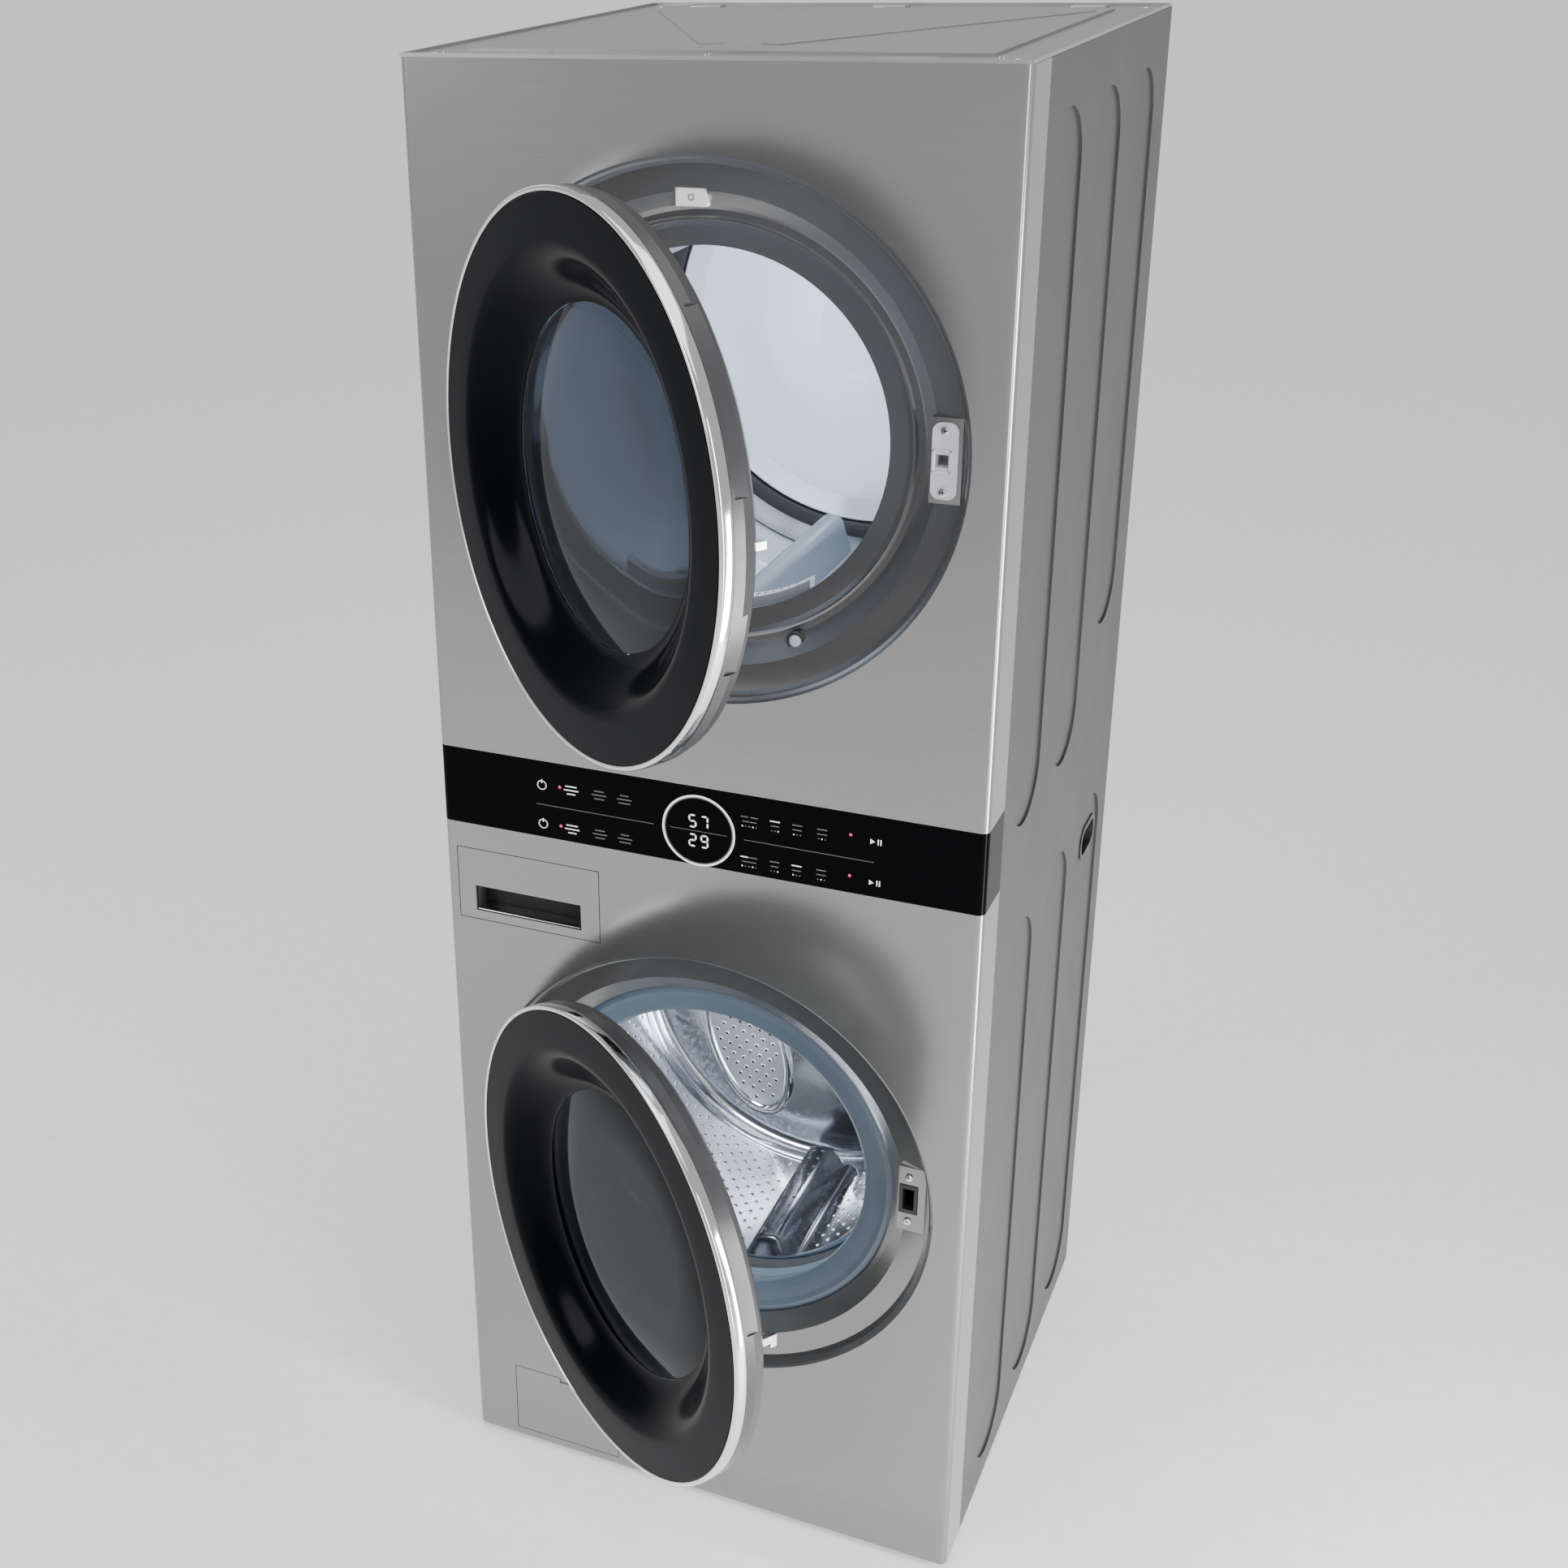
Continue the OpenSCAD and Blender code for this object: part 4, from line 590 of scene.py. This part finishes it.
def drum_back():
    """Three pressed ovals round a raised hub, each with a perforated plate inside; gives the hole places."""
    beads, plates, holes = [], [], []
    oval_r, oval_depth = 151, 462.4
    for k in range(3):
        centre = math.radians(-223 + 120 * k)
        place = Matrix.Translation((oval_r * math.cos(centre), oval_r * math.sin(centre), oval_depth))
        spot = place @ turned_to(-108 + 120 * k)
        bead = oval_bead()
        bead.data.transform(spot)
        beads.append(bead)
        plate = turned([(51, 0.2), (50, -0.5), (25, -0.8), (0, -0.9)], 96)
        plate.data.transform(spot @ Matrix.Diagonal((2.15, 0.98, 1, 1)))
        plates.append(plate)
        holes += oval_holes(spot)
    hub = turned([(34, 0.4), (31, -2.2), (27, -3.2), (22, -1.6), (17, -2.4), (8, -3.2), (0, -3.4)], 64)
    hub.data.transform(Matrix.Translation((0, 0, 462.5)))
    drum = facing(0, 0, WASHER_Z)
    # The beads and the hub take the lighter drum steel: painted highlight.
    settle(joined(beads + [hub]), "washer_drum_embossing", "drum_steel_highlight", "washer_drum", drum, 50)
    settle(joined(plates), "washer_drum_plates", "drum_plate", "washer_drum", drum, 50)
    return holes


def wall_holes():
    """Places of the holes in the drum's wall: staggered rings, with gaps for the lifters."""
    first_ring, ring_gap, ring_count = 172, 12.2, 21
    hole_step, lifter_gap = 5, 11  # degrees
    places = []
    for ring in range(ring_count):
        for angle in range(0, 360, hole_step):
            if min(abs((angle - lifter + 180) % 360 - 180) for lifter in LIFTER_TURNS) > lifter_gap:
                turn = angle + (hole_step / 2 if ring % 2 else 0)
                places.append(turned_to(turn) @ wall_spot(DRUM_R, 0, first_ring + ring_gap * ring))
    return places


def drum_spider():
    """Cast three-armed carrier on the back of the drum."""
    arms = []
    for k in range(3):
        arm = block((30, 262), (-17, 17), (464, 475), 4)
        arm.data.transform(turned_to(30 + 120 * k))
        arms.append(arm)
    hub = turned([(42, 464), (42, 470), (38, 472.8), (20, 473), (16, 473), (16, 464)], 64)
    settle(joined(arms + [hub]), "washer_drum_spider", "cast", "washer_drum", facing(0, 0, WASHER_Z))


def washer_drum():
    drum_shell()
    back_places = drum_back()
    # The rims round the wall and back holes take the lighter drum steel: painted highlight.
    pressed_holes("washer_drum", 3.4, wall_holes(), "drum_steel_highlight")
    pressed_holes("washer_back", 3.6, back_places, "drum_steel_highlight")
    drum_spider()


# ---- Vanes in both drums ----
def wedge(base, top, width, crown, start, end, slope, bevel):
    """A drum vane: from the wall radius in to its crown, narrower at the crown and sloped at both ends."""
    obj = block((top, base), (-width / 2, width / 2), (start, end), 0)
    for vertex in obj.data.vertices:
        if vertex.co.x < (base + top) / 2:
            vertex.co.y *= crown / width
            vertex.co.z += slope if vertex.co.z < (start + end) / 2 else -slope
    apply_modifier(obj, "BEVEL", width=bevel, segments=5, limit_method="ANGLE")
    return obj


def washer_lifters():
    """Three dark vanes, each on a wider foot and with two rows of small holes along its crown."""
    lifters, holes = [], []
    crown_r = 214
    first_hole, hole_gap, hole_count = 182, 20.4, 11
    for angle in LIFTER_TURNS:
        crown = wedge(269.4, crown_r, 76, 34, 145, 423, 20, 9)
        foot = wedge(269.4, 252, 92, 80, 144.5, 423.5, 5, 5)
        lifter = joined([crown, foot])
        lifter.data.transform(turned_to(angle))
        lifters.append(lifter)
        for i in range(hole_count):
            depth = first_hole + hole_gap * i
            holes += [turned_to(angle) @ wall_spot(crown_r, side, depth) for side in (-7, 7)]
    drum = facing(0, 0, WASHER_Z)
    vanes = settle(joined(lifters), "washer_lifters", "lifter", "washer_drum", drum, 40)
    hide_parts("drum_lifters")
    pressed_holes("washer_lifter", 3.2, holes, "lifter")


def dryer_baffles():
    """Three moulded vanes, each on a wider foot."""
    baffles = []
    for k in range(3):
        crown = wedge(320.2, 232, 70, 26, 131, 545, 26, 10)
        foot = wedge(320.2, 284, 96, 74, 130.5, 545.5, 8, 8)
        baffle = joined([crown, foot])
        baffle.data.transform(turned_to(93 + 120 * k))
        baffles.append(baffle)
    drum = facing(0, 0, DRYER_Z)
    vanes = settle(joined(baffles), "dryer_baffles", "baffle", "dryer_drum", drum, 40)
    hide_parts("drum_baffles")


# ---- Dryer inside ----
def dryer_back():
    """Stepped pale disc that closes the drum at the rear, and the dark seal round it."""
    place = facing(0, 0, DRYER_Z)
    disc = [(266, 611), (266, 604), (263, 602.4), (240, 602), (236, 599.4), (232, 599), (150, 599),
            (146, 600.6), (142, 601), (70, 601), (66, 598.6), (62, 598), (30, 598), (0, 598)]
    settle(turned(disc), "dryer_back_disc", "dryer_wall", "root", place)
    seal = [(291, 611), (291, 603), (288, 601), (273, 601), (270, 603), (270, 611)]
    settle(turned(seal), "dryer_back_seal", "belt", "root", place)


def dryer_beads():
    """Three beads rolled into the dryer drum's wall."""
    for depth in (190, 340, 490):
        outline = [(320.7, depth - 7), (319.2, depth - 4), (318.6, depth), (319.2, depth + 4),
                   (320.7, depth + 7)]
        bead = turned(outline, closed=False)
        settle(bead, "dryer_drum_bead_%d" % depth, "dryer_wall", "dryer_drum", facing(0, 0, DRYER_Z), 60)


def door_bumper():
    """Grey dome in a black seat, low in the dryer's recess."""
    place = facing(106, 29, DRYER_Z - 225)
    seat = turned([(11, 3), (11, -0.6), (10.2, -1.6), (8.2, -1.8), (7.6, 0), (7.6, 3)], 48)
    settle(seat, "bumper_seat", "black", "root", place)
    dome = turned([(7.4, 3), (7.4, -1), (6.2, -3.4), (3.6, -4.8), (0, -5.3)], 48)
    settle(dome, "bumper_dome", "duct", "root", place)


# ---- Screws, latch and lamp ----
def screw_heads():
    """Cross-head screws of the latch plate, the washer lock and the two hinges."""
    heads = [(PLATE_X, 10, PLATE_Z + 33 * side) for side in (-1, 1)]
    heads += [(LOCK_X, 12, LOCK_Z + 32 * side) for side in (-1, 1)]
    heads += [(-276, 8, hinge_z + 33 * side) for hinge_z in (WASHER_Z, DRYER_Z) for side in (-1, 1)]
    places = [Matrix.Translation(head) @ Matrix.Rotation(-math.pi / 2, 4, "X") for head in heads]
    panel = Matrix.Translation((0, FRONT, 0))
    head = turned([(4.5, 0.6), (4.5, -0.05), (4.1, -0.2), (2.9, -0.34), (1.5, -0.42), (0, -0.45)], 28)
    settle(scattered(head, places), "screw_heads", "screw", "root", panel, 50)
    long, thick, deep = (-2.6, 2.6), (-0.55, 0.55), (-0.5, 0.3)
    cross = joined([block(long, thick, deep, 0), block(thick, long, deep, 0)])
    # The crosses are near-black: painted shade in the recesses of the heads.
    settle(scattered(cross, places), "screw_crosses", "painted_shade_black", "root", panel)


def latch_hole_frame():
    """Thin raised frame round the square hole of the dryer's latch plate."""
    deep = (-0.8, 3)
    bars = [block((-10.5, 10.5), (side * 11.2 - 1.3, side * 11.2 + 1.3), deep, 0.6) for side in (-1, 1)]
    posts = [block((side * 9.2 - 1.3, side * 9.2 + 1.3), (-12.4, 12.4), deep, 0.6) for side in (-1, 1)]
    settle(joined(bars + posts), "latch_hole_frame", "pale", "root", facing(LOCK_X, 11.4, PLATE_Z))


def lamp_mark():
    """Small raised ring on the drum lamp's window."""
    ring = turned([(3.4, 0), (3.4, -0.35), (2.6, -0.35), (2.6, 0)], 32)
    settle(ring, "lamp_mark", "door_grey", "root", facing(LAMP_X, 22, LAMP_Z))


# ---- Marks on the control band ----
# Each stroke of a digit: its middle, in shares of the width and of half the height, and 1 if it is upright
SEGMENTS = {"a": (0, 1, 0), "b": (0.5, 0.5, 1), "c": (0.5, -0.5, 1), "d": (0, -1, 0), "e": (-0.5, -0.5, 1),
            "f": (-0.5, 0.5, 1), "g": (0, 0, 0)}
DIGITS = {"2": "abged", "5": "afgcd", "7": "abc", "9": "abcdfg"}
DISPLAY_Z = BAND_Z - 6
LINE_Z = BAND_Z - 7
ROWS = {"dryer": LINE_Z + 26, "washer": LINE_Z - 26}
SKIN = 0.12  # a ring or a sign stands this far in front of the band
BAND_FACE = Matrix.Translation((0, FRONT - 0.06 * MM, 0))


def mark(x, z, width, height, turn=0.0):
    """Place and size of one flat mark on the band."""
    upright = Matrix.Rotation(turn, 4, "Y") @ Matrix.Rotation(math.pi / 2, 4, "X")
    return Matrix.Translation((x, 0, z)) @ upright @ Matrix.Diagonal((width, height, 1, 1))


def digit(char, x, z):
    """The strokes of one display digit."""
    width, height, thick = 8, 15, 1.25
    strokes = []
    for name in DIGITS[char]:
        across, up, upright = SEGMENTS[name]
        length = height / 2 if upright else width
        turn = math.pi / 2 if upright else 0
        strokes.append(mark(x + across * width, z + up * height / 2, length * 0.46, thick, turn))
    return strokes


def six_sided_chip():
    """A flat six-sided chip, which stands for a stroke or a dot once it is stretched."""
    only(None)
    bpy.ops.mesh.primitive_circle_add(vertices=6, radius=1, fill_type="NGON", location=(0, 0, 0.08))
    chip = bpy.context.object
    bpy.ops.object.transform_apply(location=True, rotation=False, scale=False)
    return chip


def flat_ring(outside, inside, height, steps):
    return turned([(outside, 0.1), (outside, -height), (inside, -height), (inside, 0.1)], steps)


def round_display():
    """Bright ring, a faint one inside it and two rows of digits."""
    ring = flat_ring(46, 43.4, SKIN, 128)
    halo = flat_ring(42.6, 41.9, 0.06, 128)
    place = facing(0, 0, DISPLAY_Z)
    settle(ring, "display_ring", "ink", "root", place)
    settle(halo, "display_halo", "ink_dim", "root", place)
    strokes = []
    for left, right, z in (("5", "7", DISPLAY_Z + 12), ("2", "9", DISPLAY_Z - 13)):
        strokes += digit(left, -7.5, z) + digit(right, 7.5, z)
    settle(scattered(six_sided_chip(), strokes), "display_digits", "ink", "root", BAND_FACE)


def row_marks(z, upper):
    """Bars that stand for the words of one row, lit and unlit, and its start sign's two strokes."""
    lit, unlit = [], []
    for i, x in enumerate((-165, -128, -95)):
        group = unlit if i else lit
        group += [mark(x, z + 4, 15 - 2 * i, 1.4), mark(x, z - 1, 19, 1.4), mark(x, z - 6, 11 + 2 * i, 1.4)]
    for i, x in enumerate((59, 68, 95, 122, 152)):
        group = unlit if (i + upper) % 3 else lit
        group.append(mark(x, z + 4, 12, 1.4))
        unlit.append(mark(x, z - 2, 8 + i, 1.3))
        for k in range(3):
            group = lit if k == i % 3 else unlit
            group.append(mark(x - 4 + 4 * k, z - 8, 1.5, 1.5))
    lit += [mark(220 + side * 1.6, z, 1.3, 7) for side in (-1, 1)]
    return lit, unlit


def band_marks():
    """All the small marks beside the display."""
    lit = []
    unlit = [mark(0, DISPLAY_Z - 0.5, 72, 0.7)]
    for start, end in ((-212, -57), (57, 214)):
        unlit.append(mark((start + end) / 2, LINE_Z, end - start, 0.8))
    for row, z in ROWS.items():
        row_lit, row_unlit = row_marks(z, row == "dryer")
        lit += row_lit
        unlit += row_unlit
    for group, name, finish in ((lit, "band_marks_bright", "ink"), (unlit, "band_marks_dim", "ink_dim")):
        chip = block((-0.5, 0.5), (-0.5, 0.5), (-0.05, 0.12), 0)
        settle(scattered(chip, group), name, finish, "root", BAND_FACE)
    spots = [mark(-180, z + 1, 2.2, 2.2) for z in ROWS.values()]
    spots += [mark(186, z + 4, 2.0, 2.0) for z in ROWS.values()]
    settle(scattered(six_sided_chip(), spots), "band_marks_magenta", "magenta", "root", BAND_FACE)


def band_signs():
    """Power and start signs at the two ends of each row."""
    for row, z in ROWS.items():
        stem = block((-0.6, 0.6), (-7.4, -2.6), (-0.13, 0.1), 0)
        power = joined([flat_ring(6.2, 5.2, SKIN, 48), stem])
        settle(power, "power_sign_" + row, "ink", "root", facing(-204, 0, z))
        arrow = turned([(3.6, 0.1), (3.6, -SKIN), (0, -SKIN)], 3)
        arrow.data.transform(turned_to(-90))
        settle(arrow, "start_sign_" + row, "ink", "root", facing(211, 0, z))


# ---- Drawer grip ----
def drawer_pocket():
    """Near-black sheets inside the grip as painted shade, with a bright lower lip."""
    left, right = DRAWER_X + 24.4, DRAWER_X + 167.6
    bottom, top = DRAWER_Z + 13.6, DRAWER_Z + 45.6
    back_wall = block((left, right), (23.4, 24.6), (bottom, top), 0.4)
    top_wall = block((left, right), (3, 24), (top - 1, top + 0.1), 0.4)
    left_wall = block((left - 0.1, left + 1), (3, 24), (bottom, top), 0.4)
    right_wall = block((right - 1, right + 0.1), (3, 24), (bottom, top), 0.4)
    panel = Matrix.Translation((0, FRONT, 0))
    grip_shade = joined([back_wall, top_wall, left_wall, right_wall])
    settle(grip_shade, "drawer_grip_painted_shade", "painted_shade_black", "drawer", panel)
    lip = block((left + 0.6, right - 0.6), (0.6, 23), (bottom - 0.4, bottom + 1), 0.6)
    settle(lip, "drawer_grip_lip", "chrome", "drawer", panel)


# ---- Top cover ----
def top_details():
    """Two clips at the front of the cover, three pressings at its rear and four screws."""
    clip_z, pressing_z = (COVER_Z - 6.5, COVER_Z - 2.5), (COVER_Z - 6, COVER_Z - 0.6)
    clips = [block((x - 34, x + 34), (24, 40), clip_z, 1.6) for x in (-210, 210)]
    pressings = [block((x - 22, x + 22), (652, 676), pressing_z, 2.2) for x in (-250, 0, 250)]
    panel = Matrix.Translation((0, FRONT, 0))
    settle(joined(clips + pressings), "cover_tabs", "cover", "root", panel)
    side, near, far = COVER_X - 24, 34, 664
    corners = [(side, near), (side, far), (-side, far), (-side, near)]
    upside_down = Matrix.Rotation(math.pi, 4, "X")
    places = [Matrix.Translation((x, depth, COVER_Z - 4.6)) @ upside_down for x, depth in corners]
    head = turned([(4.4, 0.6), (4.4, -0.3), (3.9, -1.0), (2.7, -1.6), (0, -1.9)], 28)
    settle(scattered(head, places), "cover_screws", "screw", "root", panel, 50)


make_camera()
make_stage()
finish_cad_nodes()
for door_body, door_z, door_angle, door_pane in (("dryer_door", DRYER_Z, DRYER_AJAR, "pane"),
                                                 ("washer_door", WASHER_Z, WASHER_AJAR, "pane_dark")):
    door_glass(door_body, door_z, door_angle, door_pane)
    door_trim(door_body, door_z, door_angle)
dryer_inner_window()
washer_bowl()
washer_drum()
washer_lifters()
dryer_baffles()
dryer_back()
dryer_beads()
door_bumper()
screw_heads()
latch_hole_frame()
lamp_mark()
round_display()
band_marks()
band_signs()
drawer_pocket()
top_details()
